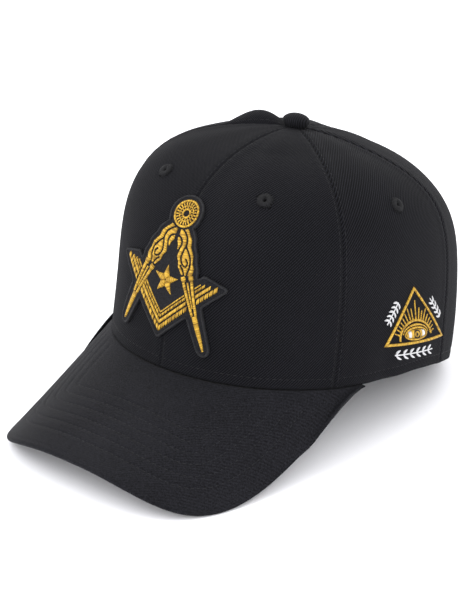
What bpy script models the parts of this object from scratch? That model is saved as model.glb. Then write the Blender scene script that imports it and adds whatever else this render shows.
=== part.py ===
"""Six-panel cap with a curved bill, a compasses patch in front and an eye emblem at the side.

Run it with: blender --background --python part.py

Metres, +Z up. The cap stands as it rests by itself on a flat surface: the back of its rim
and the two side tips of the bill touch z = 0. The bill points to -Y and the wearer's left
is +X. The origin lies on the surface, under the middle of the cap. Every piece is shaped in
the cap's own frame, where the rim is level, and an empty tips them all back together.
"""
from collections import namedtuple
from math import asin, ceil, cos, exp, hypot, pi, radians, sin

import bmesh
import bpy
from mathutils import Matrix, Vector

# Head and crown
HEAD_LENGTH = 0.200
HEAD_WIDTH = 0.170
PLAN_FULLNESS = 2.1
CROWN_HEIGHT = 0.1256
CROWN_LEAN = 0.0148
CLOTH = 0.002
FIT_GAP = 0.0003
SEAM_GAP = 0.0004
REST_TILT = radians(11.2)
RIM_PRESS = 0.001

# Roundness of the crown in front, at the sides and behind
Round = namedtuple("Round", "front side back")
CROWN_RISE = Round(3.96, 8.1, 2.73)
CROWN_TURN = Round(1.71, 1.59, 2.39)
RIM_TUCK = Round(0.0, 0.0117, 0.0198)
TUCK_HEIGHT = 0.020
CROWN_TAPER = Round(0.0, 0.054, 0.064)

# Rim: low behind, higher over the bill and highest at the sides
FRONT_RIM = 0.0063
SIDE_RIM = 0.0131
SIDE_RIM_ANGLE = radians(91.3)
BACK_RIM_ANGLE = radians(157.7)

# Panels: seams, and how far the cloth puffs out between them
FRONT_SEAM = radians(60.6)
BACK_SEAM = radians(108.5)
TOP_SWELL = 0.0059
TOP_SWELL_REACH = 0.445
BODY_SWELL = 0.0003
BODY_SWELL_HEIGHT = 0.030
DENT_ANGLE = radians(79)
DENT_SPREAD = radians(4)
DENT_DEPTH = 0.0012
DENT_HEIGHT = 0.048
PANEL_COLUMNS = 11
LOW_ROWS = 9
TOP_ROWS = 6

# Bill
BILL_REACH = 0.0609
BILL_WIDTH = 0.1598
BILL_ARCH = 0.0512
BILL_ARCH_POWER = 2.77
BILL_SWEEP = 0.751
BILL_END = radians(74.3)
BILL_LIP = 0.0015
BILL_THICKNESS = 0.003
BILL_SIDE_FULLNESS = 3.35
BILL_FRONT_FULLNESS = 3.79
BILL_COLUMNS = 40

# Button and eyelets
BUTTON_WIDTH = 0.0144
BUTTON_HEIGHT = 0.0068
BUTTON_SHANK = 0.0022
BUTTON_HEAD = 0.0045
EYELET_HEIGHT = Round(0.1002, 0.1013, 0.0955)
EYELET_WIDTH = 0.0087
EYELET_RELIEF = 0.0009
EYELET_BORE = 0.0020
EYELET_WALL = 0.0007
EYELET_BACK = 0.0028
TURNED_STEPS = 20
EYELET_STEPS = 12

# Patch: heights are measured up the front seam from the rim, and it is sewn on a little turned
PATCH_TURN = radians(2.4)
PATCH_THICKNESS = 0.0009
PATCH_MARGIN = 0.0024
THREAD = 0.0005
COMPASS_THREAD = 0.0011
HINGE_HEIGHT = 0.0813
ROSETTE_WIDTH = 0.0147
LEG_TIP_HEIGHT = 0.0167
LEG_TIP_REACH = 0.0272
LEG_SCROLL_WIDTH = 0.0100
LEG_BLADE_WIDTH = 0.0066
LEG_TIP_WIDTH = 0.0018
SQUARE_HEIGHT = 0.0191
SQUARE_ARM = 0.0440
SQUARE_WIDTH = 0.0076
STAR_HEIGHT = 0.0465
STAR_WIDTH = 0.0156

# Eye emblem on the wearer's left: along runs to the back, up is height over the rim's low line
EMBROIDERY = 0.0008
EYE_ALONG = 0.0046
EYE_BASE = 0.0281
EYE_LEAN = 0.331
EYE_TILT = 0.053
TRIANGLE_WIDTH = 0.0558
TRIANGLE_HEIGHT = 0.0319
TRIANGLE_BAND = 0.0017
SUN_WIDTH = 0.0300
SUN_HEIGHT = 0.0120
SUN_BAND = 0.0013
RAY_WIDTH = 0.0011
RAY_SPACE = 0.0007
LONG_RAY = 0.0105
EYE_WIDTH = 0.0225
EYE_OPENING = 0.0074
SPRIG_WIDTH = 0.0050
SPRIG_STEM = 0.0009
SPRIG_SPACE = 0.0026

# Pitch of the cuts that let a flat plate follow the crown
BEND_PITCH = 0.0065

# Panels: seam angles, share of the full swell, and where the eyelet stands as a share of the width
Panel = namedtuple("Panel", "name start end swell eyelet")
PANELS = (
    Panel("panel_front_left", 0.0, FRONT_SEAM, 0.23, 0.51),
    Panel("panel_side_left", FRONT_SEAM, BACK_SEAM, 0.15, 0.53),
    Panel("panel_back_left", BACK_SEAM, pi, 0.15, 0.66),
    Panel("panel_front_right", -FRONT_SEAM, 0.0, 0.08, 0.58),
    Panel("panel_side_right", -BACK_SEAM, -FRONT_SEAM, 1.0, 0.47),
    Panel("panel_back_right", -pi, -BACK_SEAM, 0.21, 0.34),
)

# Rays over the eye: where each stands round the arch in degrees, and its length as a share
# of the long middle ray
Ray = namedtuple("Ray", "angle length")
RAYS = tuple(Ray(angle, length) for angle, length in (
    (12, 0.34), (25, 0.36), (38, 0.42), (50, 0.50), (62, 0.62), (74, 0.80), (90, 1.0),
    (106, 0.66), (117, 0.84), (129, 0.58), (141, 0.48), (153, 0.40), (166, 0.34)))

# Bill rows from the crown's wall to the edge, as shares of the way
BILL_ROWS = (0.0, 0.10, 0.25, 0.42, 0.60, 0.78, 0.92, 1.0)

# Outline of a leg's scrolled part: share of the way from hinge to tip, share of its width
LEG_SCROLL = (
    (0.08, 0.45), (0.13, 0.55), (0.18, 0.86), (0.235, 0.72),
    (0.29, 1.0), (0.345, 0.80), (0.40, 0.96), (0.44, 0.70))


def collection(name):
    made = bpy.data.collections.new(name)
    bpy.context.scene.collection.children.link(made)
    return made


def finish(name, colour, roughness, metallic=0.0):
    """Principled material with a plain colour."""
    made = bpy.data.materials.new(name)
    made.use_nodes = True
    shader = made.node_tree.nodes["Principled BSDF"]
    shader.inputs["Base Color"].default_value = (*colour, 1)
    shader.inputs["Roughness"].default_value = roughness
    shader.inputs["Metallic"].default_value = metallic
    return made


def signed_power(value, exponent):
    return abs(value) ** exponent * (1 if value >= 0 else -1)


def smooth(value):
    """Ease from 0 to 1, held at both ends."""
    value = min(1.0, max(0.0, value))
    return value * value * (3 - 2 * value)


def by_side(angle, size):
    """Blend a front, side and back value by where a point stands round the head."""
    share = cos(angle)
    end = size.front if share > 0 else size.back
    return size.side + (end - size.side) * share * share


# Crown surface. angle runs round the head, 0 in front and +90 degrees on the wearer's left.
# climb runs from 0 at the rim's low line to 1 under the button.

def climb_at(height):
    return asin(min(1.0, height / CROWN_HEIGHT)) * 2 / pi


def crown_reach(angle, climb):
    """Share of the head's half width or half length that the crown keeps at a height."""
    share = max(0.0, sin(climb * pi / 2))
    rise = by_side(angle, CROWN_RISE)
    turn = by_side(angle, CROWN_TURN)
    tuck = by_side(angle, RIM_TUCK) * max(0.0, 1 - share * CROWN_HEIGHT / TUCK_HEIGHT) ** 2
    taper = by_side(angle, CROWN_TAPER) * share
    return max(0.0, 1 - share ** rise) ** (1 / turn) * (1 - tuck) * (1 - taper)


def crown_base(angle, climb):
    """The crown as one smooth dome, without puffs or dents."""
    share = sin(climb * pi / 2)
    reach = crown_reach(angle, climb)
    x = HEAD_WIDTH / 2 * signed_power(sin(angle), 2 / PLAN_FULLNESS) * reach
    y = -HEAD_LENGTH / 2 * signed_power(cos(angle), 2 / PLAN_FULLNESS) * reach
    return Vector((x, y - CROWN_LEAN * share * share, CROWN_HEIGHT * share))


def crown_normal(angle, climb):
    step = 0.002
    above = min(climb + step, 1 - step / 10)
    up = crown_base(angle, above) - crown_base(angle, above - 2 * step)
    along = crown_base(angle + step, climb) - crown_base(angle - step, climb)
    return along.cross(up).normalized()


def panel_at(angle):
    """The panel that covers an angle."""
    return next(panel for panel in PANELS if panel.start <= angle <= panel.end)


def swell(panel, angle, climb):
    """How far a panel puffs out: nothing at its seams and nothing under the button."""
    across = (2 * angle - panel.start - panel.end) / (panel.end - panel.start)
    across = min(1.0, abs(across))
    button = (BUTTON_WIDTH + 2 * FIT_GAP) / HEAD_WIDTH
    out = max(0.0, crown_reach(angle, climb) - button)
    top = TOP_SWELL * panel.swell * sin(pi * min(1.0, out / (TOP_SWELL_REACH - button)))
    fade = min(1.0, max(0.0, CROWN_HEIGHT * sin(climb * pi / 2) / BODY_SWELL_HEIGHT))
    body = BODY_SWELL * fade * min(1.0, out / TOP_SWELL_REACH)
    return top * cos(pi / 2 * across) + body * (1 - across * across)


def dent(angle, climb):
    """Soft upright hollow in each side panel, just behind the end of the bill."""
    away = (abs(angle) - DENT_ANGLE) / DENT_SPREAD
    fade = smooth(1 - CROWN_HEIGHT * sin(climb * pi / 2) / DENT_HEIGHT)
    return DENT_DEPTH * exp(-away * away) * fade


def crown_skin(angle, climb, lift=0.0, panel=None):
    """A point on the cloth's outer face, or lift above it."""
    panel = panel or panel_at(angle)
    rise = swell(panel, angle, climb) - dent(angle, climb) + lift
    return crown_base(angle, climb) + crown_normal(angle, climb) * rise


def rim_height(angle):
    """Height of the rim's edge over its low line behind."""
    angle = abs(angle)
    rise = FRONT_RIM + (SIDE_RIM - FRONT_RIM) * (min(angle, SIDE_RIM_ANGLE) / SIDE_RIM_ANGLE) ** 2
    return rise * (1 - smooth((angle - SIDE_RIM_ANGLE) / (BACK_RIM_ANGLE - SIDE_RIM_ANGLE)))


def rim_skin(angle):
    return crown_skin(angle, climb_at(rim_height(angle)))


def climb_from_button(angle, distance):
    """Climb at which the crown lies a level distance from the button's middle."""
    turn = by_side(angle, CROWN_TURN)
    rise = by_side(angle, CROWN_RISE)
    half = hypot(HEAD_WIDTH / 2 * sin(angle), HEAD_LENGTH / 2 * cos(angle))
    half *= 1 - by_side(angle, CROWN_TAPER)
    return climb_at(CROWN_HEIGHT * (1 - (distance / half) ** turn) ** (1 / rise))


# Bill surface. turn runs from 0 at the wearer's left end to pi at the right one.

def bill_edge(turn, drop):
    """Outer edge of the bill, whose middle lies drop below the rim."""
    start = rim_skin(BILL_END)
    start_x = start.x + BILL_LIP
    front_y = -HEAD_LENGTH / 2 - BILL_REACH
    fore = abs(sin(turn)) ** (2 / BILL_FRONT_FULLNESS)
    near = max(0.0, 1 - 3 * fore)
    half = BILL_WIDTH / 2 + (start_x - BILL_WIDTH / 2) * near
    x = half * signed_power(cos(turn), 2 / BILL_SIDE_FULLNESS)
    y = start.y + (front_y - start.y) * fore
    arch = BILL_ARCH * (2 * abs(x) / BILL_WIDTH) ** BILL_ARCH_POWER
    z = FRONT_RIM - drop - arch + BILL_SWEEP * (y - front_y)
    return Vector((x, y, z + (start.z - FIT_GAP - z) * near))


def bill_angle(turn):
    """Angle on the rim that a line across the bill starts from."""
    return BILL_END * (1 - 2 * turn / pi)


def bill_point(turn, out, drop):
    """Top face of the bill: out is 0 at the crown's wall, 1 at the edge and -1 inside the wall."""
    angle = bill_angle(turn)
    wall = rim_skin(angle) - Vector((0, 0, FIT_GAP))
    if out < 0:
        inward = crown_normal(angle, climb_at(rim_height(angle)))
        return wall + Vector((inward.x, inward.y, 0)).normalized() * CLOTH * out
    return wall.lerp(bill_edge(turn, drop), out)


def bill_turns():
    """Lines across the bill, closer together at its two ends."""
    return [pi / 2 * (1 - cos(pi * step / BILL_COLUMNS)) for step in range(BILL_COLUMNS + 1)]


def rest_matrix(shift_y=0.0):
    """Tips the cap back about the back of its rim and sets it on the surface."""
    pivot = Vector((0, HEAD_LENGTH / 2, 0))
    tip = Matrix.Translation(pivot) @ Matrix.Rotation(-REST_TILT, 4, "X") @ Matrix.Translation(-pivot)
    return Matrix.Translation((0, shift_y, -RIM_PRESS)) @ tip


def lowest_of_bill(drop):
    """Lowest height over the surface that the underside of the bill's edge reaches."""
    rest = rest_matrix()
    step = 0.01
    lowest = BILL_REACH
    for turn in bill_turns()[1:BILL_COLUMNS // 2]:
        along = bill_edge(turn + step, drop) - bill_edge(turn, drop)
        across = bill_point(turn, 1.0, drop) - bill_point(turn, 1 - step, drop)
        down = along.cross(across).normalized() * BILL_THICKNESS
        under = bill_edge(turn, drop) + (down if down.z < 0 else -down)
        lowest = min(lowest, (rest @ under).z)
    return lowest


def resting_drop():
    """Drop of the bill's middle at which its side tips just touch the surface."""
    drop = 0.0
    for _ in range(8):
        drop += lowest_of_bill(drop) / cos(REST_TILT)
    return drop


def middle_shift(drop):
    """Shift along Y that brings the middle of the cap over the origin."""
    rest = rest_matrix()
    front = (rest @ bill_edge(pi / 2, drop)).y
    back = max((rest @ crown_skin(pi, step / 40)).y for step in range(30))
    return -(front + back) / 2


# Making objects

def mesh_object(name, points, faces, material, group):
    mesh = bpy.data.meshes.new(name)
    mesh.from_pydata([tuple(point) for point in points], [], faces)
    made = bpy.data.objects.new(name, mesh)
    if material:
        mesh.materials.append(material)
    group.objects.link(made)
    return made


def grid_object(name, rows, material):
    """Open surface through rows of points, all of one length."""
    width = len(rows[0])
    points = [point for row in rows for point in row]
    faces = []
    for j in range(len(rows) - 1):
        for i in range(width - 1):
            a = j * width + i
            faces.append((a, a + 1, a + width + 1, a + width))
    return mesh_object(name, points, faces, material, PARTS)


def solidify(made, thickness):
    shell = made.modifiers.new("wall", "SOLIDIFY")
    shell.thickness = thickness
    shell.offset = -1


def cut(made, cutter):
    hole = made.modifiers.new(cutter.name, "BOOLEAN")
    hole.operation = "DIFFERENCE"
    hole.solver = "EXACT"
    hole.object = cutter


def as_guide(made):
    """Keep an object in the cutters' collection, out of the model."""
    for group in list(made.users_collection):
        group.objects.unlink(made)
    CUTTERS.objects.link(made)
    made.hide_render = True
    made.display_type = "WIRE"
    return made


def turned(name, profile, steps, material, matrix, closed=False):
    """Turned piece: a profile in the XZ plane, down its outer side, spun round its own Z."""
    points = [(x, 0, z) for x, z in profile]
    edges = [(i, i + 1) for i in range(len(points) - 1)]
    if closed:
        edges.append((len(points) - 1, 0))
    mesh = bpy.data.meshes.new(name)
    mesh.from_pydata(points, edges, [])
    mesh.materials.append(material)
    made = bpy.data.objects.new(name, mesh)
    PARTS.objects.link(made)
    spin = made.modifiers.new("spin", "SCREW")
    spin.steps = steps
    spin.render_steps = steps
    spin.use_merge_vertices = True
    spin.merge_threshold = 1e-6
    spin.use_smooth_shade = True
    made.matrix_local = matrix
    return made


def seat_matrix(point, normal):
    """Frame with its origin at a point and its Z along the normal."""
    return Matrix.Translation(point) @ normal.to_track_quat("Z", "Y").to_matrix().to_4x4()


# Flat plates that are bent onto the crown

def arc(centre, radii, start, end, steps):
    """Points along an ellipse's arc, angles in degrees."""
    turns = (radians(start + (end - start) * step / steps) for step in range(steps + 1))
    return [(centre[0] + radii[0] * cos(turn), centre[1] + radii[1] * sin(turn)) for turn in turns]


def disc(centre, radius, sides=24):
    return arc(centre, (radius, radius), 0, 360 - 360 / sides, sides - 1)


def plate(outlines, thickness, low=0.0):
    """Closed plate between flat outlines, its underside at z = low."""
    curve = bpy.data.curves.new("outline", "CURVE")
    curve.dimensions = "2D"
    curve.fill_mode = "BOTH"
    curve.extrude = thickness / 2
    for outline in outlines:
        spline = curve.splines.new("POLY")
        spline.points.add(len(outline) - 1)
        for point, (x, y) in zip(spline.points, outline):
            point.co = (x, y, 0, 1)
        spline.use_cyclic_u = True
    source = bpy.data.objects.new("outline", curve)
    CUTTERS.objects.link(source)
    made = bpy.data.objects.new("plate", evaluated_mesh(source))
    bpy.data.objects.remove(source)
    CUTTERS.objects.link(made)
    form = bmesh.new()
    form.from_mesh(made.data)
    bmesh.ops.remove_doubles(form, verts=form.verts, dist=1e-6)
    bmesh.ops.translate(form, verts=form.verts, vec=(0, 0, low + thickness / 2))
    form.to_mesh(made.data)
    form.free()
    return made


def evaluated_mesh(source):
    bpy.context.view_layer.update()
    return bpy.data.meshes.new_from_object(source.evaluated_get(bpy.context.evaluated_depsgraph_get()))


def combine(first, others, operation):
    """Boolean of a plate with others, which are used up."""
    for other in others:
        step = first.modifiers.new(operation, "BOOLEAN")
        step.operation = operation
        step.solver = "EXACT"
        step.object = other
    mesh = evaluated_mesh(first)
    first.modifiers.clear()
    first.data = mesh
    for other in others:
        bpy.data.objects.remove(other)
    return first


def bend(name, flat, place, lift, material):
    """Lay a plate on the crown: place takes across, up and lift to a point."""
    form = bmesh.new()
    form.from_mesh(flat.data)
    bpy.data.objects.remove(flat)
    bmesh.ops.dissolve_limit(form, angle_limit=0.001, verts=form.verts, edges=form.edges)
    for axis in (0, 1):
        low = min(vert.co[axis] for vert in form.verts)
        high = max(vert.co[axis] for vert in form.verts)
        side = Vector((1, 0, 0)) if axis == 0 else Vector((0, 1, 0))
        for step in range(ceil(low / BEND_PITCH), ceil(high / BEND_PITCH)):
            everything = form.verts[:] + form.edges[:] + form.faces[:]
            bmesh.ops.bisect_plane(form, geom=everything, dist=1e-6, plane_co=side * step * BEND_PITCH, plane_no=side)
    bmesh.ops.triangulate(form, faces=form.faces)
    for vert in form.verts:
        vert.co = place(vert.co.x, vert.co.y, lift + vert.co.z)
    mesh = bpy.data.meshes.new(name)
    form.to_mesh(mesh)
    form.free()
    mesh.materials.append(material)
    made = bpy.data.objects.new(name, mesh)
    PARTS.objects.link(made)
    return made


def front_climbs():
    """Climb and length up the front seam from the rim, in small steps."""
    start = climb_at(rim_height(0.0))
    climbs = [start + (1 - start) * step / 400 for step in range(400)]
    lengths = [0.0]
    for low, high in zip(climbs, climbs[1:]):
        lengths.append(lengths[-1] + (crown_base(0.0, high) - crown_base(0.0, low)).length)
    return climbs, lengths


def solve(function, wanted, low, high):
    """Where a rising function reaches a wanted value."""
    for _ in range(40):
        middle = (low + high) / 2
        low, high = (middle, high) if function(middle) < wanted else (low, middle)
    return (low + high) / 2


def on_front(across, up, lift):
    """Spot on the front: across from the front seam, up along it from the rim, turned with the patch."""
    away = up - HINGE_HEIGHT
    up = HINGE_HEIGHT + away * cos(PATCH_TURN) - across * sin(PATCH_TURN)
    across = across * cos(PATCH_TURN) + away * sin(PATCH_TURN)
    climbs, lengths = FRONT_CLIMBS
    step = next(i for i, length in enumerate(lengths) if length > up)
    share = (up - lengths[step - 1]) / (lengths[step] - lengths[step - 1])
    climb = climbs[step - 1] + (climbs[step] - climbs[step - 1]) * share
    angle = solve(lambda turn: crown_base(turn, climb).x, abs(across), 0.0, pi / 2)
    return crown_skin(angle if across >= 0 else -angle, climb, lift)


def on_side(along, up, lift):
    """Spot on the wearer's left: along to the back, up from the emblem's base, which tilts and leans."""
    climb = climb_at(EYE_BASE + up - EYE_TILT * along)
    wanted = EYE_ALONG + along - EYE_LEAN * up
    angle = solve(lambda turn: crown_base(turn, climb).y, wanted, 0.0, pi)
    return crown_skin(angle, climb, lift)


# Pieces

def row_climbs(angle):
    """Rows of a panel from the rim to the button, with one flat band for the eyelet."""
    low = climb_at(rim_height(angle))
    top = climb_from_button(angle, BUTTON_WIDTH / 2 + FIT_GAP)
    eyelet = climb_at(by_side(angle, EYELET_HEIGHT))
    step = 0.01
    pace = (crown_base(angle, eyelet + step) - crown_base(angle, eyelet)).length / step
    band = EYELET_WIDTH / 2 / pace
    lower = [low + (eyelet - band - low) * row / LOW_ROWS for row in range(LOW_ROWS + 1)]
    upper = [top - (top - eyelet - band) * row / TOP_ROWS for row in range(TOP_ROWS + 1)]
    return lower + upper[::-1] + [climb_from_button(angle, BUTTON_SHANK + FIT_GAP)]


def seam_inset(angle, climb):
    """Angle that half a seam's gap takes up at a height."""
    step = 0.001
    pace = (crown_base(angle + step, climb) - crown_base(angle, climb)).length / step
    return SEAM_GAP / 2 / pace


def toward_eyelet(panel, share):
    """Share of a panel's width, bent so that its middle column lies at the eyelet."""
    return share + (panel.eyelet - 0.5) * 4 * share * (1 - share)


def make_panels():
    for panel in PANELS:
        columns = []
        for i in range(PANEL_COLUMNS + 1):
            share = i / PANEL_COLUMNS
            angle = panel.start + (panel.end - panel.start) * toward_eyelet(panel, share)
            column = []
            for climb in row_climbs(angle):
                inset = seam_inset(angle, climb) * (1 - 2 * share)
                column.append(crown_skin(angle + inset, climb, panel=panel))
            columns.append(column)
        made = grid_object(panel.name, list(zip(*columns)), TWILL)
        solidify(made, CLOTH)
        made.parent = REST
        if max(abs(panel.start), abs(panel.end)) == pi:
            cut(made, FLOOR)
        left, right = columns[PANEL_COLUMNS // 2], columns[PANEL_COLUMNS // 2 + 1]
        flat = left[LOW_ROWS], right[LOW_ROWS], right[LOW_ROWS + 1], left[LOW_ROWS + 1]
        cut(made, make_eyelet(panel.name.replace("panel", "eyelet"), flat))


def make_eyelet(name, flat):
    """Stitched eyelet in the middle of a flat spot, and the cutter for its hole."""
    a, b, c, d = flat
    seat = seat_matrix((a + b + c + d) / 4, (c - a).cross(d - b).normalized())
    bore = EYELET_BORE / 2
    neck = bore + EYELET_WALL
    rim = EYELET_WIDTH / 2
    top = FIT_GAP + EYELET_RELIEF
    back = -CLOTH - FIT_GAP
    profile = (
        (bore, FIT_GAP + EYELET_RELIEF * 0.5),
        (neck, top),
        ((neck + rim) / 2, top),
        (rim, FIT_GAP + EYELET_RELIEF * 0.4),
        (rim, FIT_GAP),
        (neck, FIT_GAP),
        (neck, back),
        (EYELET_BACK, back),
        (EYELET_BACK, back - EYELET_RELIEF * 0.5),
        (bore, back - EYELET_RELIEF * 0.5),
    )
    made = turned(name, profile, EYELET_STEPS, COTTON, seat, closed=True)
    made.parent = REST
    bpy.ops.mesh.primitive_cylinder_add(vertices=EYELET_STEPS, radius=neck + FIT_GAP, depth=CLOTH * 6)
    hole = as_guide(bpy.context.object)
    hole.name = name + "_hole"
    hole.matrix_local = seat
    hole.parent = REST
    return hole


def make_button():
    """Covered button: a low dome on a shank that goes through the top of the crown."""
    half = BUTTON_WIDTH / 2
    low = FIT_GAP
    back = -CLOTH - FIT_GAP
    dome = [(half * sin(radians(turn)), low + BUTTON_HEIGHT * (0.42 + 0.58 * cos(radians(turn))))
            for turn in (0, 18, 36, 54, 72, 90)]
    side = [(half * 0.97, low + BUTTON_HEIGHT * 0.16), (half * 0.86, low)]
    shank = [(BUTTON_SHANK, low), (BUTTON_SHANK, back), (BUTTON_HEAD, back)]
    head = [(BUTTON_HEAD, back - CLOTH / 2), (0, back - CLOTH / 2)]
    seat = Matrix.Translation((0, -CROWN_LEAN, CROWN_HEIGHT))
    made = turned("top_button", dome + side + shank + head, TURNED_STEPS, COTTON, seat)
    made.parent = REST


def make_bill(drop):
    turns = bill_turns()
    rows = [[bill_point(turn, out, drop) for turn in turns] for out in (-1.0,) + BILL_ROWS]
    made = grid_object("bill", rows, TWILL)
    solidify(made, BILL_THICKNESS)
    made.parent = REST


def leg_outline(side, grow):
    """Leg of the compasses from hinge to tip, grown all round by grow."""
    hinge = Vector((0, HINGE_HEIGHT))
    tip = Vector((side * LEG_TIP_REACH, LEG_TIP_HEIGHT))
    length = (tip - hinge).length
    down = (tip - hinge) / length
    over = Vector((-down.y, down.x))
    widths = [(share, LEG_SCROLL_WIDTH * width) for share, width in LEG_SCROLL]
    widths += [(0.46, LEG_BLADE_WIDTH), (1.0, LEG_TIP_WIDTH)]
    edge = [hinge + down * share * length + over * (width / 2 + grow) for share, width in widths]
    other = [hinge + down * share * length - over * (width / 2 + grow) for share, width in widths]
    point = tip + down * (grow + LEG_TIP_WIDTH / 2)
    return [tuple(spot) for spot in edge + [point] + other[::-1]]


def arm_outline(side, grow):
    """Arm of the square, rising at 45 degrees from the corner. Grown, its end is blunt and slopes up."""
    slant = 2 ** 0.5
    low = SQUARE_HEIGHT - grow * slant
    high = SQUARE_HEIGHT + (SQUARE_WIDTH + grow) * slant
    end = SQUARE_HEIGHT + SQUARE_ARM / slant + grow
    blunt = end - low - grow
    tip = [(side * blunt, end - grow)] + ([(side * blunt, end - grow / 2)] if grow else [])
    return [(0, low)] + tip + [(side * (end + grow - high), end + grow), (0, high)]


def star_outline():
    outer = STAR_WIDTH / 2
    inner = outer * 0.42
    turns = [(radians(90 + 36 * step), outer if step % 2 == 0 else inner) for step in range(10)]
    return [(radius * cos(turn), STAR_HEIGHT + radius * sin(turn)) for turn, radius in turns]


def felt_outline():
    """Felt between the legs and the square."""
    slope = LEG_TIP_REACH / (HINGE_HEIGHT - LEG_TIP_HEIGHT)
    height = (SQUARE_HEIGHT + slope * HINGE_HEIGHT) / (1 + slope)
    reach = slope * (HINGE_HEIGHT - height)
    return [(0, HINGE_HEIGHT), (-reach, height), (0, SQUARE_HEIGHT), (reach, height)]


def make_patch():
    hinge = (0, HINGE_HEIGHT)
    rosette = ROSETTE_WIDTH / 2
    felt = [plate([felt_outline()], PATCH_THICKNESS)]
    for side in (1, -1):
        felt.append(plate([leg_outline(side, PATCH_MARGIN)], PATCH_THICKNESS))
        felt.append(plate([arm_outline(side, PATCH_MARGIN)], PATCH_THICKNESS))
    felt_disc = plate([disc(hinge, rosette + PATCH_MARGIN)], PATCH_THICKNESS)
    bend("patch_felt", combine(felt_disc, felt, "UNION"), on_front, FIT_GAP, FELT)

    face = FIT_GAP * 2 + PATCH_THICKNESS
    rays = plate([disc(hinge, rosette)], COMPASS_THREAD)
    legs = [plate([leg_outline(side, 0.0)], COMPASS_THREAD) for side in (1, -1)]
    compasses = combine(rays, legs, "UNION")
    lap = [plate([arm_outline(side, FIT_GAP)], THREAD + 2 * FIT_GAP, -FIT_GAP) for side in (1, -1)]
    bend("compasses", combine(compasses, lap, "DIFFERENCE"), on_front, face, GOLD)

    arms = [plate([arm_outline(side, 0.0)], THREAD) for side in (1, -1)]
    bend("square", combine(arms[0], arms[1:], "UNION"), on_front, face, GOLD)
    bend("star", plate([star_outline()], COMPASS_THREAD), on_front, face, GOLD)


def triangle_outline(inset):
    """The triangle with its sides moved in by inset."""
    corners = [Vector((-TRIANGLE_WIDTH / 2, 0)), Vector((TRIANGLE_WIDTH / 2, 0)), Vector((0, TRIANGLE_HEIGHT))]
    sides = []
    for a, b in zip(corners, corners[1:] + corners[:1]):
        along = (b - a).normalized()
        sides.append((a + Vector((-along.y, along.x)) * inset, along))
    moved = []
    for (a, p), (b, q) in zip(sides, sides[1:] + sides[:1]):
        reach = ((b - a).x * q.y - (b - a).y * q.x) / (p.x * q.y - p.y * q.x)
        moved.append(tuple(a + p * reach))
    return moved


def room_to_frame(foot, out):
    """Distance from a point inside the triangle's band to the band, along a direction."""
    corners = [Vector(corner) for corner in triangle_outline(TRIANGLE_BAND + RAY_SPACE)]
    rooms = []
    for a, b in zip(corners, corners[1:] + corners[:1]):
        inward = Vector((-(b - a).y, (b - a).x))
        if out.dot(inward) < 0:
            rooms.append((a - foot).dot(inward) / out.dot(inward))
    return min(rooms)


def sun_outline():
    """Arch over the eye with its rays, as one outline."""
    base = TRIANGLE_BAND + FIT_GAP
    half = SUN_WIDTH / 2
    inner = arc((0, base), (half - SUN_BAND, SUN_HEIGHT - SUN_BAND), 180, 0, 24)
    outer = [(half, base)]
    for ray in RAYS:
        turn = radians(ray.angle)
        foot = Vector((half * cos(turn), base + SUN_HEIGHT * sin(turn)))
        out = Vector((cos(turn), sin(turn)))
        side = Vector((out.y, -out.x)) * RAY_WIDTH / 2
        foot -= out * SUN_BAND / 3
        tip = foot + out * min(LONG_RAY * ray.length, room_to_frame(foot, out))
        outer += [tuple(foot + side), tuple(tip + side * 0.6), tuple(tip - side * 0.6), tuple(foot - side)]
    outer.append((-half, base))
    return outer + inner


def eye_outline():
    """Almond: a high upper lid over a flatter lower one."""
    base = TRIANGLE_BAND + FIT_GAP * 2
    half = EYE_WIDTH / 2
    rise = base + EYE_OPENING * 0.40
    upper = arc((0, rise), (half, EYE_OPENING * 0.60), 0, 180, 12)
    lower = arc((0, rise), (half, EYE_OPENING * 0.40), 180, 360, 12)
    return upper + lower[1:-1]


def sprig_outline(start, end, leaves):
    """Straight stem from start to end that carries a row of pointed leaves."""
    start, end = Vector(start), Vector(end)
    along = (end - start) / leaves
    over = Vector((-along.y, along.x)).normalized()
    edge = [start + over * SPRIG_STEM / 2]
    other = [start - over * SPRIG_STEM / 2]
    for step in range(leaves):
        foot = start + along * step
        for share, width in ((0.1, SPRIG_STEM), (0.5, SPRIG_WIDTH), (0.9, SPRIG_STEM)):
            edge.append(foot + along * share + over * width / 2)
            other.append(foot + along * share - over * width / 2)
    return [tuple(spot) for spot in edge + other[::-1]]


def beside(a, b, from_a, to_b):
    """Two points along the line a to b, set off it on its outer side."""
    a, b = Vector(a), Vector(b)
    along = b - a
    out = Vector((along.y, -along.x)).normalized() * (SPRIG_SPACE + SPRIG_WIDTH / 2)
    return a + along * from_a + out, a + along * to_b + out


def make_eye_emblem():
    outer = triangle_outline(0.0)
    low_back, top, low_front = outer
    pieces = (
        ("triangle_frame", [outer, triangle_outline(TRIANGLE_BAND)], GOLD),
        ("sunburst", [sun_outline()], GOLD),
        ("eye", [eye_outline()], GOLD),
        ("sprig_front", [sprig_outline(*beside(top, low_front, 0.36, 0.72), 5)], WHITE_THREAD),
        ("sprig_back", [sprig_outline(*beside(low_back, top, 0.28, 0.64), 4)], WHITE_THREAD),
        ("sprig_base", [sprig_outline(*beside(low_front, low_back, 0.18, 0.80), 6)], WHITE_THREAD),
    )
    for name, outlines, material in pieces:
        bend(name, plate(outlines, EMBROIDERY), on_side, FIT_GAP, material)


for leftover in list(bpy.data.objects):
    bpy.data.objects.remove(leftover)

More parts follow.
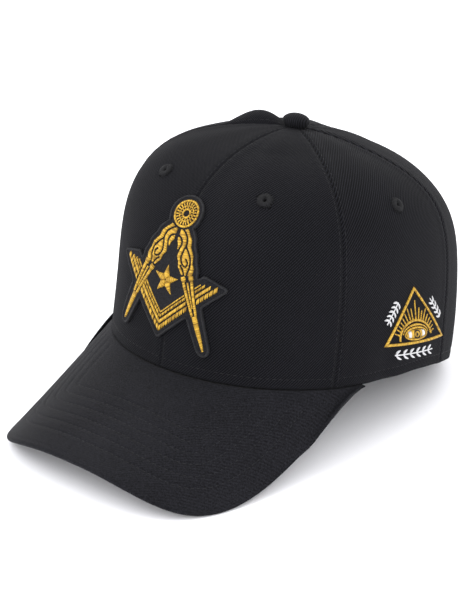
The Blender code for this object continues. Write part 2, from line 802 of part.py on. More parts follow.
PARTS = collection("cap")
CUTTERS = collection("cap_cutters")
TWILL = finish("black_twill", (0.022, 0.022, 0.025), 0.9)
COTTON = finish("black_cotton", (0.025, 0.025, 0.028), 0.85)
FELT = finish("black_felt", (0.012, 0.012, 0.013), 0.95)
GOLD = finish("gold_thread", (0.80, 0.47, 0.09), 0.45)
WHITE_THREAD = finish("white_thread", (0.85, 0.85, 0.86), 0.5)
FRONT_CLIMBS = front_climbs()

DROP = resting_drop()
REST = bpy.data.objects.new("rest", None)
PARTS.objects.link(REST)
REST.matrix_world = rest_matrix(middle_shift(DROP))

bpy.ops.mesh.primitive_cube_add(size=1)
FLOOR = as_guide(bpy.context.object)
FLOOR.name = "floor_cutter"
FLOOR.scale = (2 * HEAD_WIDTH, 2 * HEAD_LENGTH, HEAD_LENGTH)
FLOOR.location = (0, HEAD_LENGTH / 2, -HEAD_LENGTH / 2)

make_panels()
make_button()
make_bill(DROP)
make_patch()
make_eye_emblem()
for piece in PARTS.objects:
    if piece is not REST:
        piece.parent = REST
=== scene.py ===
"""Black twill cap with a curved bill, dressed in cloth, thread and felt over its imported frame.

Metres, +Z up. Every piece is shaped in the cap's own frame, where the rim is level, the bill points
to -Y and the wearer's left is +X, and is then tipped back as the cap rests on a surface.
"""
from collections import namedtuple
from math import cos, hypot, pi, radians, sin

import bmesh
import bpy
import numpy as np
from mathutils import Matrix, Vector


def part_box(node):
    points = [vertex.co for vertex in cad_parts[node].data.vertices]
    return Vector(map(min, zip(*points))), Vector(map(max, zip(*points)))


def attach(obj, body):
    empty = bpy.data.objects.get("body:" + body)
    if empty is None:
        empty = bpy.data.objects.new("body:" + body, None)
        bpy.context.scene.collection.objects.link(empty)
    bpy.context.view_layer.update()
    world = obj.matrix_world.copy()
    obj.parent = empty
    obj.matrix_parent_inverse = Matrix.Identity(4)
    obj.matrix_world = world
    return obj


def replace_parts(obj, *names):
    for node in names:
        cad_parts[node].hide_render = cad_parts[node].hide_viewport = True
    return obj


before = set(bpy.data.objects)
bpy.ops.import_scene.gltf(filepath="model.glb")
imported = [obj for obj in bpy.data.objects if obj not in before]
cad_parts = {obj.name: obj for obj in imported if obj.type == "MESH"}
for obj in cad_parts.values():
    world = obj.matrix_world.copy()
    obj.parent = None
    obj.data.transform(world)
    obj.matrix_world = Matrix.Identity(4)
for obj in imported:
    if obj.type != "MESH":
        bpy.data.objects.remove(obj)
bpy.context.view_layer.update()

# Head and crown, as in the frame. A Round is a size that changes from front to side to back
HEAD_LENGTH = 0.200
HEAD_WIDTH = 0.170
PLAN_FULLNESS = 2.1
CROWN_HEIGHT = 0.1256
CROWN_LEAN = 0.0148
CLOTH = 0.002
CLOTH_SPARE = 0.0002
REST_TILT = radians(11.2)
RIM_PRESS = 0.001
Round = namedtuple("Round", "front side back")
CROWN_RISE = Round(3.96, 8.1, 2.73)
CROWN_TURN = Round(1.71, 1.59, 2.39)
RIM_TUCK = Round(0.0, 0.0117, 0.0198)
TUCK_HEIGHT = 0.020
CROWN_TAPER = Round(0.0, 0.054, 0.064)
FRONT_RIM = 0.0063
SIDE_RIM = 0.0131
SIDE_RIM_ANGLE = radians(91.3)
BACK_RIM_ANGLE = radians(157.7)

# Panels: their seams and how far each puffs out
FRONT_SEAM = radians(60.6)
BACK_SEAM = radians(108.5)
TOP_SWELL = 0.0059
TOP_SWELL_REACH = 0.445
BODY_SWELL = 0.0003
BODY_SWELL_HEIGHT = 0.030
DENT_ANGLE = radians(79)
DENT_SPREAD = radians(4)
DENT_DEPTH = 0.0012
DENT_HEIGHT = 0.048
Panel = namedtuple("Panel", "name start end swell eyelet")
PANELS = (
    Panel("front_left", 0.0, FRONT_SEAM, 0.23, 0.51),
    Panel("side_left", FRONT_SEAM, BACK_SEAM, 0.15, 0.53),
    Panel("back_left", BACK_SEAM, pi, 0.15, 0.66),
    Panel("front_right", -FRONT_SEAM, 0.0, 0.08, 0.58),
    Panel("side_right", -BACK_SEAM, -FRONT_SEAM, 1.0, 0.47),
    Panel("back_right", -pi, -BACK_SEAM, 0.21, 0.34),
)

# Sewing of the crown: the valley at a seam, the ridge of its folded edge, its puckers, and the hem
SEAM_DEPTH = 0.0004
SEAM_SPREAD = 0.0008
SEAM_ROW = 0.0017
RIDGE_HEIGHT = 0.00030
RIDGE_PLACE = 0.0030
RIDGE_SPREAD = 0.0024
PUCKER_HEIGHT = 0.00010
PUCKER_PITCH = 0.0061
PUCKER_REACH = 0.005
PUCKER_WANDER = 3
PUCKER_WANDER_PACE = 40
HEM_ROW = 0.0056
HEM_ROW_INSET = 0.01
HEM_DIP = 0.00025
HEM_DIP_SPREAD = 0.0008
HEM_ROLL = 0.0011
PANEL_COLUMNS = 84
PANEL_ROWS = 130
COLUMN_PACKING = 0.8
ROW_PACKING = 0.35

# Shares of the button's width at which the cloth and the seams' stitch rows end under it
CLOTH_TOP = 0.3
STITCH_TOP = 0.5

# Slack of the cloth: slow waves with their strength, their pace round the head and up it, and start
SLACK = 0.00035
Wave = namedtuple("Wave", "strength round up start")
SLACK_WAVES = (Wave(1.0, 5.3, 9.1, 0.0), Wave(1.0, 11.9, -6.3, 1.2), Wave(0.7, 7.7, 19.7, 0.4))

# Bill: its reach past the crown, the arch and the sweep of its edge, how its two ends blend into the
# rim, its board and rolled edge, the allowance that it is sewn on by, and its stitch rows
BILL_REACH = 0.0609
BILL_WIDTH = 0.1598
BILL_ARCH = 0.0512
BILL_ARCH_POWER = 2.77
BILL_SWEEP = 0.751
BILL_END = radians(71.6)
BILL_LIP = 0.0004
BILL_BLEND_ACROSS = 0.56
BILL_BLEND_UP = 0.395
BILL_BLEND_POWER = 2.24
BILL_DROP = 0.03745
BILL_THICKNESS = 0.003
BILL_END_SHARE = 0.3
BILL_ROLL = 0.9
BILL_DRAW_IN = 0.2
BILL_DRAW_IN_LIMIT = 0.4
BILL_SIDE_FULLNESS = 3.07
BILL_FRONT_FULLNESS = 3.79
FIT_GAP = 0.0003
ALLOWANCE_HEIGHT = 0.008
ALLOWANCE_OVERLAP = 0.0018
ALLOWANCE_THICKNESS = 0.0012
BILL_COLUMNS = 220
BILL_ROWS = 110
BILL_PACKING = 0.75
BILL_STITCH_ROWS = 6
BILL_FIRST_ROW = 0.0130
BILL_ROW_SPACE = 0.0064
BILL_GROOVE = 0.00035
BILL_GROOVE_SPREAD = 0.0008
EDGE_SEAM = 0.0022
EDGE_SEAM_DEPTH = 0.0002
EDGE_SEAM_SPREAD = 0.0006

# Button and eyelets. An eyelet's threads are wound a little unevenly
BUTTON_WIDTH = 0.0144
BUTTON_HEIGHT = 0.0068
BUTTON_DOME_SHARE = 0.58
BUTTON_SIDES = 72
BUTTON_GATHERS = 9
BUTTON_GATHER_DEPTH = 0.012
EYELET_HEIGHT = Round(0.1002, 0.1013, 0.0955)
EYELET_WIDTH = 0.0087
EYELET_RELIEF = 0.0011
EYELET_BORE = 0.0020
EYELET_THREADS = 40
EYELET_THREAD_WIDTH = 0.00062
EYELET_UNEVEN_TURNS = 0.3
EYELET_UNEVEN_RIM = 0.02
EYELET_HOLE_SHARE = 0.26
EYELET_SINK = 0.0003

# Twill: its ribs lean to the right of the grain, seen from outside
TWILL_LEAN = radians(41)
BILL_TWILL_LEAN = radians(43)
BUTTON_TWILL_LEAN = radians(-20)
TWILL_PITCH = 0.0011
FLOAT_PITCH = TWILL_PITCH * 1.6

# Sewing thread: a stitch, the space after it, and how far its ends are pulled in
STITCH = 0.0026
STITCH_SPACE = 0.0006
STITCH_WIDTH = 0.00032
STITCH_SINK = 0.0002
STITCH_PUFF = 0.6

# Patch: across from the front seam, and up along it from the rim, sewn on a little turned
PATCH_TURN = radians(2.4)
PATCH_THICKNESS = 0.0013
PATCH_MARGIN = 0.0024
PATCH_SINK = 0.0002
PLATE_PITCH = 0.0022
OUTLINE_STEP = 0.0008
BORDER_WIDTH = 0.0008
BORDER_THREAD_WIDTH = 0.00046
BORDER_HEIGHT = 0.0004
BORDER_PITCH = 0.00042

# Figures on the patch, with their heights along the front seam
HINGE_HEIGHT = 0.0813
ROSETTE_WIDTH = 0.0147
LEG_TIP_HEIGHT = 0.0167
LEG_TIP_REACH = 0.0272
LEG_SCROLL_WIDTH = 0.0100
LEG_BLADE_WIDTH = 0.0066
LEG_TIP_WIDTH = 0.0018
LEG_CLEARANCE = 0.0005
SQUARE_HEIGHT = 0.0191
SQUARE_ARM = 0.0440
SQUARE_WIDTH = 0.0076
STAR_HEIGHT = 0.0465
STAR_WIDTH = 0.0156
STAR_POINTS = 5
STAR_WAIST = 0.42
STAR_PUFF = 0.00077

# Length of a square's diagonal for one side
DIAGONAL = 2 ** 0.5

# Satin stitch, which is held flatter where its threads are short, and the dark lines left in it
THREAD_PITCH = 0.00036
THREAD_WIDTH = 0.00046
THREAD_STATIONS = 6
THREAD_TAPER = 0.12
CURVE_POINTS = 40
PUFF = 0.00055
STEEPEST_PUFF = 0.45
SUNK = 0.0001
SCROLL_GAP = 0.0010
LEG_PARTING = 0.0011
ROSETTE_GAP = 0.0011
SCROLL_SLANT = 0.25

# Eye emblem on the wearer's left: its foot on the crown, its lean and tilt, and its figures
EYE_ALONG = 0.0046
EYE_BASE = 0.0281
EYE_LEAN = 0.331
EYE_TILT = 0.053
TRIANGLE_WIDTH = 0.0558
TRIANGLE_HEIGHT = 0.0319
TRIANGLE_BAND = 0.0014
SUN_WIDTH = 0.0300
SUN_HEIGHT = 0.0120
SUN_BAND = 0.0012
SUN_ALONG = -0.0014
SUN_NEAR_FOOT = 14
SUN_FAR_FOOT = 176
RAY_WIDTHS = (0.0008, 0.00048)
RAY_SLANT = 0.0004
RAY_SPACE = 0.0007
LONG_RAY = 0.0105
EYE_WIDTH = 0.0225
EYE_OPENING = 0.0074
EYE_LEVEL = 0.4
EYE_CORNER = 0.84
IRIS_REACH = 0.0026
IRIS_WIDTH = 0.0006
IRIS_LIFT = 0.0004
PUPIL_REACH = 0.0005
PUPIL_WIDTH = 0.0009
SPRIG_WIDTH = 0.0050
SPRIG_SPACE = 0.0026
STEM_WIDTHS = (0.0006, 0.0005)
LEAF_WIDTHS = (0.0005, 0.0013, 0.0011, 0.0004)

# Leaf of a sprig, as shares of a step along its stem: its foot, and from there its bend and tip
LEAF_FOOT = 0.12
LEAF_BEND = 0.22
LEAF_TIP = 0.62
LEAF_BEND_REACH = 0.30

# Room round the cap, its lamps, and where they point
ROOM_LIGHT = 1.8
LAMP_SIZE = 1.4
LAMP_TARGET = (0, 0, 0.07)
Lamp = namedtuple("Lamp", "name place power")
LAMPS = (Lamp("key", (-0.7, -1.0, 1.6), 9), Lamp("fill", (1.4, -1.3, 0.9), 8))
FLOOR_SIZE = 8.0

# Photograph's camera
CAMERA_AZIMUTH = radians(40.65)
CAMERA_HEIGHT = radians(25.02)
CAMERA_DISTANCE = 1.187
CAMERA_TARGET = Vector((0, 0.00764, 0.0490))
FOCAL_PIXELS = 2237.8
PHOTO_LONG_SIDE = 608
SIDEWAYS_PIXELS = 17.3
DOWNWARD_PIXELS = 8.57
SENSOR = 36.0


# Arithmetic on arrays

def signed_power(value, exponent):
    return np.abs(value) ** exponent * np.sign(value)


def ease(value):
    """From 0 to 1, level at both ends."""
    value = np.clip(value, 0, 1)
    return value * value * (3 - 2 * value)


def hill(away, spread):
    """1 in the middle of a soft ridge or groove, and next to nothing two spreads away."""
    return np.exp(-(away / spread) ** 2)


def packed(share, packing):
    """Shares from 0 to 1, moved closer together at both ends."""
    return share - packing * np.sin(2 * pi * share) / (2 * pi)


def unit(vectors):
    return vectors / np.maximum(np.linalg.norm(vectors, axis=-1, keepdims=True), 1e-12)


def left_of(along):
    """Flat directions turned a right angle to their left."""
    return np.stack([-along[..., 1], along[..., 0]], axis=-1)


def lengths_along(path, axis=0):
    """Length from the start of a path, or of each line of a grid, to each of its points."""
    steps = np.linalg.norm(np.diff(path, axis=axis), axis=-1)
    return np.insert(np.cumsum(steps, axis=axis), 0, 0.0, axis=axis)


# Crown surface. angle runs round the head, 0 in front and a right angle on the wearer's left.
# climb runs from 0 at the rim's low line to 1 under the button. Both are arrays.

def by_side(angle, size):
    """A size that changes round the head, from its values in front, at the sides and behind."""
    share = np.cos(angle)
    end = np.where(share > 0, size.front, size.back)
    return size.side + (end - size.side) * share ** 2


def climb_at(height):
    return np.arcsin(np.clip(height / CROWN_HEIGHT, 0, 1)) * 2 / pi


def height_at(climb):
    return CROWN_HEIGHT * np.sin(climb * pi / 2)


def crown_reach(angle, climb):
    """How far out the crown stands, as a share of its reach at the rim."""
    share = np.clip(np.sin(climb * pi / 2), 0, 1)
    tuck = by_side(angle, RIM_TUCK) * np.clip(1 - share * CROWN_HEIGHT / TUCK_HEIGHT, 0, None) ** 2
    dome = np.clip(1 - share ** by_side(angle, CROWN_RISE), 0, None)
    taper = by_side(angle, CROWN_TAPER) * share
    return dome ** (1 / by_side(angle, CROWN_TURN)) * (1 - tuck) * (1 - taper)


def crown_base(angle, climb):
    share = np.sin(climb * pi / 2)
    reach = crown_reach(angle, climb)
    x = HEAD_WIDTH / 2 * signed_power(np.sin(angle), 2 / PLAN_FULLNESS) * reach
    y = -HEAD_LENGTH / 2 * signed_power(np.cos(angle), 2 / PLAN_FULLNESS) * reach
    return np.stack([x, y - CROWN_LEAN * share ** 2, CROWN_HEIGHT * share + 0 * angle], axis=-1)


def crown_normal(angle, climb):
    step = 0.002
    above = np.minimum(climb + step, 1 - step / 10)
    up = crown_base(angle, above) - crown_base(angle, above - 2 * step)
    along = crown_base(angle + step, climb) - crown_base(angle - step, climb)
    return unit(np.cross(along, up))


def swell(panel, angle, climb):
    """How far a panel puffs out between its seams."""
    across = np.clip(np.abs(2 * angle - panel.start - panel.end) / (panel.end - panel.start), 0, 1)
    button = (BUTTON_WIDTH + 2 * FIT_GAP) / HEAD_WIDTH
    out = np.clip(crown_reach(angle, climb) - button, 0, None)
    top = TOP_SWELL * panel.swell * np.sin(pi * np.clip(out / (TOP_SWELL_REACH - button), 0, 1))
    fade = np.clip(height_at(climb) / BODY_SWELL_HEIGHT, 0, 1)
    body = BODY_SWELL * fade * np.clip(out / TOP_SWELL_REACH, 0, 1)
    return top * np.cos(pi / 2 * across) + body * (1 - across ** 2)


def swell_at(angle, climb):
    """The same for any spot of the crown."""
    rise = 0 * angle
    for panel in PANELS:
        here = (angle >= panel.start) & (angle <= panel.end)
        rise = np.where(here, swell(panel, angle, climb), rise)
    return rise


def dent(angle, climb):
    """Dip in each side of the crown, low down."""
    low = ease(1 - height_at(climb) / DENT_HEIGHT)
    return DENT_DEPTH * hill(np.abs(angle) - DENT_ANGLE, DENT_SPREAD) * low


def slack(angle, climb):
    """Slow unevenness of the cloth, which fades out at the rim."""
    waves = sum(wave.strength * np.sin(wave.round * angle + wave.up * climb + wave.start)
                for wave in SLACK_WAVES)
    return SLACK / len(SLACK_WAVES) * waves * ease(climb * 6)


def raised(angle, climb, rise):
    """Spots at a height over the crown's base, with the dents and the slack of its cloth."""
    rise = rise - dent(angle, climb) + slack(angle, climb)
    return crown_base(angle, climb) + crown_normal(angle, climb) * rise[..., None]


def crown_skin(angle, climb, lift=0.0):
    """Spots over the crown's smooth outer face."""
    return raised(angle, climb, swell_at(angle, climb) + lift)


def rim_height(angle):
    angle = np.abs(angle)
    share = np.clip(angle / SIDE_RIM_ANGLE, 0, 1)
    rise = FRONT_RIM + (SIDE_RIM - FRONT_RIM) * share ** 2
    return rise * (1 - ease((angle - SIDE_RIM_ANGLE) / (BACK_RIM_ANGLE - SIDE_RIM_ANGLE)))


def climb_from_button(angle, distance):
    """Climb at which the crown lies a level distance from the button's middle."""
    half = np.hypot(HEAD_WIDTH / 2 * np.sin(angle), HEAD_LENGTH / 2 * np.cos(angle))
    half = half * (1 - by_side(angle, CROWN_TAPER))
    dome = 1 - (distance / half) ** by_side(angle, CROWN_TURN)
    return climb_at(CROWN_HEIGHT * dome ** (1 / by_side(angle, CROWN_RISE)))


def pace_round(angle, climb):
    """Metres along the crown for each radian round the head."""
    step = 0.001
    move = crown_base(angle + step, climb) - crown_base(angle, climb)
    return np.linalg.norm(move, axis=-1) / step


def solve(function, wanted, low, high):
    """Where a rising function reaches the wanted values."""
    low, high = low + 0 * wanted, high + 0 * wanted
    for _ in range(36):
        middle = (low + high) / 2
        short = function(middle) < wanted
        low, high = np.where(short, middle, low), np.where(short, high, middle)
    return (low + high) / 2


SEAM_CLIMBS = np.linspace(climb_at(FRONT_RIM), 0.999, 600)
SEAM_LENGTHS = lengths_along(crown_base(0 * SEAM_CLIMBS, SEAM_CLIMBS))


def on_front(flat):
    """Spots on the front: across from the front seam, up along it from the rim, and lift."""
    across, up, lift = np.moveaxis(flat, -1, 0)
    away = up - HINGE_HEIGHT
    up = HINGE_HEIGHT + away * cos(PATCH_TURN) - across * sin(PATCH_TURN)
    across = across * cos(PATCH_TURN) + away * sin(PATCH_TURN)
    climb = np.interp(up, SEAM_LENGTHS, SEAM_CLIMBS)
    angle = solve(lambda turn: crown_base(turn, climb)[..., 0], np.abs(across), 0.0, pi / 2)
    return crown_skin(np.where(across < 0, -angle, angle), climb, lift)


def on_side(flat):
    """Spots on the wearer's left: along to the back, up from the emblem's foot, and lift."""
    along, up, lift = np.moveaxis(flat, -1, 0)
    climb = climb_at(EYE_BASE + up - EYE_TILT * along)
    wanted = EYE_ALONG + along - EYE_LEAN * up
    angle = solve(lambda turn: crown_base(turn, climb)[..., 1], wanted, 0.0, pi)
    return crown_skin(angle, climb, lift)


# Bill surface. turn runs from 0 at the wearer's left end to pi at the right one.

def rim_skin(angle):
    return crown_skin(angle, climb_at(rim_height(angle))) - np.array([0, 0, FIT_GAP])


def bill_fore(turn):
    """How far to the front the edge lies: 0 at the bill's ends and 1 at its front."""
    return np.abs(np.sin(turn)) ** (2 / BILL_FRONT_FULLNESS)


def bill_edge(turn):
    """Outer edge of the bill's top. Its two ends are blended into the rim, across and up."""
    start = rim_skin(np.array(BILL_END))
    start_x = start[0] + BILL_LIP
    front_y = -HEAD_LENGTH / 2 - BILL_REACH
    fore = bill_fore(turn)
    near = np.clip(1 - fore / BILL_BLEND_ACROSS, 0, None) ** BILL_BLEND_POWER
    near_up = np.clip(1 - fore / BILL_BLEND_UP, 0, None) ** BILL_BLEND_POWER
    half = BILL_WIDTH / 2 + (start_x - BILL_WIDTH / 2) * near
    x = half * signed_power(np.cos(turn), 2 / BILL_SIDE_FULLNESS)
    y = start[1] + (front_y - start[1]) * fore
    arch = BILL_ARCH * (2 * np.abs(x) / BILL_WIDTH) ** BILL_ARCH_POWER
    z = FRONT_RIM - BILL_DROP - arch + BILL_SWEEP * (y - front_y)
    return np.stack([x, y, z + (start[2] - z) * near_up], axis=-1)


def bill_thickness(turn):
    """The board thins towards the bill's two ends, where little but the cloth goes on."""
    return BILL_THICKNESS * (BILL_END_SHARE + (1 - BILL_END_SHARE) * ease(bill_fore(turn)))


def bill_skin(turn, out):
    """Top face of the bill: out is 0 at the crown's wall, 1 at the edge and -1 inside the wall."""
    angle = BILL_END * (1 - 2 * turn / pi)
    wall = rim_skin(angle)
    inward = crown_normal(angle, climb_at(rim_height(angle))) * np.array([1, 1, 0])
    inside = wall - unit(inward) * CLOTH * np.clip(-out, 0, 1)[..., None]
    share = np.clip(out, 0, 1)[..., None]
    return inside * (1 - share) + bill_edge(turn) * share


# Resting place

def resting_matrix():
    """Tips the cap back on the back of its rim, with its middle over the origin as in the frame."""
    pivot = Vector((0, HEAD_LENGTH / 2, 0))
    turn = Matrix.Rotation(-REST_TILT, 4, "X")
    tip = Matrix.Translation(pivot) @ turn @ Matrix.Translation(-pivot)
    front = (tip @ Vector(bill_edge(np.array(pi / 2)))).y
    return Matrix.Translation((0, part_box("bill")[0][1] - front, -RIM_PRESS)) @ tip


RESTING = np.array(resting_matrix())


def placed(points):
    return points @ RESTING[:3, :3].T + RESTING[:3, 3]


# Shader wrapper

class Value:
    """A shader socket that can be used in sums."""

    def __init__(self, finish, socket):
        self.finish = finish
        self.socket = socket

    def __add__(self, other):
        return self.finish.maths("ADD", self, other)

    def __radd__(self, other):
        return self.finish.maths("ADD", other, self)

    def __sub__(self, other):
        return self.finish.maths("SUBTRACT", self, other)

    def __rsub__(self, other):
        return self.finish.maths("SUBTRACT", other, self)

    def __mul__(self, other):
        return self.finish.maths("MULTIPLY", self, other)

    def __rmul__(self, other):
        return self.finish.maths("MULTIPLY", other, self)


class Finish:
    """A material and its slot in the record: its node tree and its Principled shader."""

    def __init__(self, name, slot, sockets):
        self.slot = slot
        self.material = bpy.data.materials.new(name)
        self.material.use_nodes = True
        self.tree = self.material.node_tree
        self.shader = self.tree.nodes["Principled BSDF"]
        self.dress(sockets)

    def feed(self, socket, value):
        """Links a value to a socket, or sets a plain number, colour or vector on it."""
        if isinstance(value, Value):
            self.tree.links.new(value.socket, socket)
        else:
            socket.default_value = value

    def dress(self, sockets):
        for name, value in sockets.items():
            self.feed(self.shader.inputs[name], value)

    def node(self, kind, sockets, output=0, **settings):
        """Adds a node: its settings come first, then the values or links of its sockets."""
        made = self.tree.nodes.new(kind)
        for name, value in settings.items():
            setattr(made, name, value)
        for key, value in sockets.items():
            self.feed(made.inputs[key], value)
        return Value(self, made.outputs[output])

    def maths(self, operation, a, b=0.0):
        return self.node("ShaderNodeMath", {0: a, 1: b}, operation=operation)

    def sine(self, value):
        return self.maths("SINE", value)

    def held(self, value, low, high):
        """Eases a value from 0 at low to 1 at high."""
        sockets = {"Value": value, "From Min": low, "From Max": high}
        return self.node("ShaderNodeMapRange", sockets, interpolation_type="SMOOTHSTEP")

    def attribute(self, name, output="Fac"):
        return self.node("ShaderNodeAttribute", {}, output, attribute_name=name)

    def axes(self, vector):
        """X, Y and Z of a vector."""
        return [self.node("ShaderNodeSeparateXYZ", {0: vector}, axis) for axis in "XYZ"]

    def noise(self, scale, detail=2.0):
        """Noise that stays with the piece, its scale in grains a metre."""
        place = self.node("ShaderNodeTexCoord", {}, "Object")
        sockets = {"Vector": place, "Scale": scale, "Detail": detail}
        return self.node("ShaderNodeTexNoise", sockets)

    def colour(self, factor, first, second):
        """Mixes two colours into the surface's own."""
        sockets = {0: factor, 6: (*first, 1), 7: (*second, 1)}
        self.dress({"Base Color": self.node("ShaderNodeMix", sockets, 2, data_type="RGBA")})

    def bump(self, height, distance, strength):
        sockets = {"Height": height, "Distance": distance, "Strength": strength}
        self.dress({"Normal": self.node("ShaderNodeBump", sockets)})


def cloth_sockets(roughness, sheen, sheen_roughness, specular):
    return {"Roughness": roughness, "Sheen Weight": sheen, "Sheen Roughness": sheen_roughness,
            "Specular IOR Level": specular}


def twill(name, slot, dark, light, ribs_seen, grain_seen, sheen):
    """Cotton twill: slanted ribs of short floats, with uneven yarn, lint, slow fading and painted
    shade.
    """
    finish = Finish(name, slot, cloth_sockets(0.9, sheen, 0.5, 0.1))
    over, along, _ = finish.axes(finish.attribute("cloth", "Vector"))
    over = over * (2 * pi / TWILL_PITCH)
    ribs = finish.sine(over + finish.noise(700.0) * 1.4) * 0.5 + 0.5
    floats = finish.sine(along * (2 * pi / FLOAT_PITCH) + over) * 0.5 + 0.5
    weave = ribs * (floats * 0.35 + 0.65) - 0.41
    grain = finish.noise(1400.0, 3.0) - 0.5
    fading = finish.noise(28.0) * 0.35
    lint = finish.held(finish.noise(1500.0, 1.0), 0.62, 0.8) * 0.5
    relief = weave * ribs_seen + grain * grain_seen
    # Colour follows the relief: raised floats lighter, valleys between ribs darker as painted shade
    finish.colour(relief + fading + lint + 0.16, dark, light)
    finish.bump(relief, 0.0002, 0.9)
    return finish


def thread(name, slot, dark, light, roughness, sheen):
    """Twisted thread: tone changes from one thread to the next, and its plies catch the light."""
    finish = Finish(name, slot, cloth_sockets(roughness, sheen, 0.35, 0.3))
    tone = finish.attribute("tone") * 0.9 + finish.noise(2600.0) * 0.7 - 0.3
    finish.colour(tone, dark, light)
    finish.bump(finish.noise(4200.0, 1.0), 0.00008, 0.5)
    return finish


def felt(name, slot, dark, light):
    """Felt: matted fibres."""
    finish = Finish(name, slot, cloth_sockets(0.95, 0.03, 0.6, 0.1))
    fibres = finish.noise(1800.0, 4.0)
    finish.colour(finish.held(fibres, 0.35, 0.75), dark, light)
    finish.bump(fibres, 0.00025, 0.8)
    return finish


def table_top(name):
    """Smooth white surface, which isn't part of the cap."""
    finish = Finish(name, None, {"Roughness": 0.9})
    grain = finish.noise(40.0)
    finish.colour(grain, (0.92, 0.92, 0.955), (0.94, 0.94, 0.975))
    finish.bump(grain, 0.0001, 0.1)
    return finish


BLACK_TWILL = twill("black_twill", "black_twill", (0.0006, 0.0006, 0.0010),
                    (0.0105, 0.0106, 0.0140), ribs_seen=1.35, grain_seen=0.35, sheen=0.009)
# Bill and crown are one twill; the bill's copy is coloured lighter, which is painted light, and has
# more sheen
BILL_TWILL = twill("bill_twill", "black_twill", (0.0010, 0.0010, 0.0016),
                   (0.0165, 0.0165, 0.0210), ribs_seen=0.25, grain_seen=1.6, sheen=0.036)
BUTTON_TWILL = twill("button_twill", "black_cotton", (0.0010, 0.0010, 0.0016),
                     (0.0130, 0.0132, 0.0165), ribs_seen=0.9, grain_seen=0.3, sheen=0.018)
BLACK_THREAD = thread("black_thread", "black_cotton", (0.0025, 0.0025, 0.0030),
                      (0.0095, 0.0095, 0.0115), roughness=0.7, sheen=0.03)
EYELET_THREAD = thread("black_eyelet_thread", "black_cotton", (0.0012, 0.0012, 0.0018),
                       (0.0050, 0.0050, 0.0068), roughness=0.8, sheen=0.010)
SEWING_THREAD = thread("black_sewing_thread", "black_cotton", (0.0030, 0.0030, 0.0038),
                       (0.0105, 0.0105, 0.0130), roughness=0.8, sheen=0.035)
BORDER_THREAD = thread("border_thread", "black_felt", (0.0040, 0.0040, 0.0050),
                       (0.0130, 0.0133, 0.0165), roughness=0.7, sheen=0.04)
BLACK_FELT = felt("black_felt", "black_felt", (0.0045, 0.0045, 0.0056), (0.0155, 0.0157, 0.0190))
GOLD_THREAD = thread("gold_thread", "gold_thread", (0.19, 0.095, 0.005), (0.68, 0.42, 0.042),
                     roughness=0.5, sheen=0.03)
WHITE_THREAD = thread("white_thread", "white_thread", (0.52, 0.52, 0.54), (0.66, 0.66, 0.67),
                      roughness=0.5, sheen=0.1)


# Making meshes

def mesh_piece(name, points, faces, finish, smooth=True):
    """A piece of the cap from points in its own frame."""
    mesh = bpy.data.meshes.new(name)
    mesh.from_pydata(placed(np.asarray(points)).tolist(), [], faces)
    mesh.materials.append(finish.material)
    if smooth:
        mesh.shade_smooth()
    made = bpy.data.objects.new(name, mesh)
    bpy.context.scene.collection.objects.link(made)
    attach(made, "root")
    return made


def spread(made, name, values, kind, key):
    """Stores a value or vector for each point of a mesh."""
    layer = made.data.attributes.new(name, kind, "POINT")
    layer.data.foreach_set(key, np.asarray(values, dtype=np.float32).ravel())


def grid_faces(rows, columns, wrap_rows=False, wrap_columns=False):
    """Quads between rows of points."""
    lines = np.arange(rows * columns).reshape(rows, columns)
    if wrap_rows:
        lines = np.vstack([lines, lines[:1]])
    if wrap_columns:
        lines = np.hstack([lines, lines[:, :1]])
    corners = lines[:-1, :-1], lines[:-1, 1:], lines[1:, 1:], lines[1:, :-1]
    return np.stack(corners, axis=-1).reshape(-1, 4).tolist()


def closed_faces(rows, columns):
    """Faces of a closed section swept from column to column, with both its ends."""
    ends = np.arange(rows) * columns
    caps = [ends[::-1].tolist(), (ends + columns - 1).tolist()]
    return grid_faces(rows, columns, wrap_rows=True) + caps


def lay_twill(made, across, up, lean):
    """Stores the cloth's coordinates over its ribs and along them."""
    over, along = across * cos(lean) - up * sin(lean), across * sin(lean) + up * cos(lean)
    spread(made, "cloth", np.stack([over, along, 0 * over], axis=-1), "FLOAT_VECTOR", "vector")


# Thread work

RANDOM = np.random.default_rng(7)
TUBE_SIDES = 6


def thread_tubes(name, lines, width, place, finish):
    """Closed threads of one width: lines is threads by stations by across, up and lift."""
    lines = np.asarray(lines)
    threads, stations, _ = lines.shape
    along = unit(np.gradient(lines, axis=1))
    side = unit(np.cross(np.array([0.0, 0.0, 1.0]), along))
    over = np.cross(along, side)
    share = np.linspace(THREAD_TAPER, 1 - THREAD_TAPER, stations)
    thickness = np.sin(share * pi) ** 0.4 * width / 2
    turns = np.arange(TUBE_SIDES) * 2 * pi / TUBE_SIDES
    ring = side[:, :, None] * np.cos(turns)[:, None] + over[:, :, None] * np.sin(turns)[:, None]
    points = lines[:, :, None] + ring * thickness[None, :, None, None]
    faces = []
    for start in range(threads):
        first = start * stations * TUBE_SIDES
        faces.append(first + np.array(grid_faces(stations, TUBE_SIDES, wrap_columns=True)))
    faces = np.concatenate(faces).tolist()
    caps = np.arange(threads)[:, None] * stations * TUBE_SIDES + np.arange(TUBE_SIDES)
    faces += caps[:, ::-1].tolist() + (caps + (stations - 1) * TUBE_SIDES).tolist()
    made = mesh_piece(name, place(points.reshape(-1, 3)), faces, finish)
    tones = np.repeat(RANDOM.random(threads), stations * TUBE_SIDES)
    spread(made, "tone", tones, "FLOAT", "value")
    return made


def at_lengths(path, wanted, values=None):
    """Points of a path at lengths from its start, or the values that go with them."""
    lengths = lengths_along(path)
    columns = (path if values is None else values).T
    return np.stack([np.interp(wanted, lengths, column) for column in columns], axis=-1)


def evenly(path, count):
    return at_lengths(path, np.linspace(0, lengths_along(path)[-1], count))


def edges_of(path, widths):
    """Left and right edges of a band along a flat path."""
    out = left_of(unit(np.gradient(path, axis=0))) * np.asarray(widths)[..., None] / 2
    return path + out, path - out


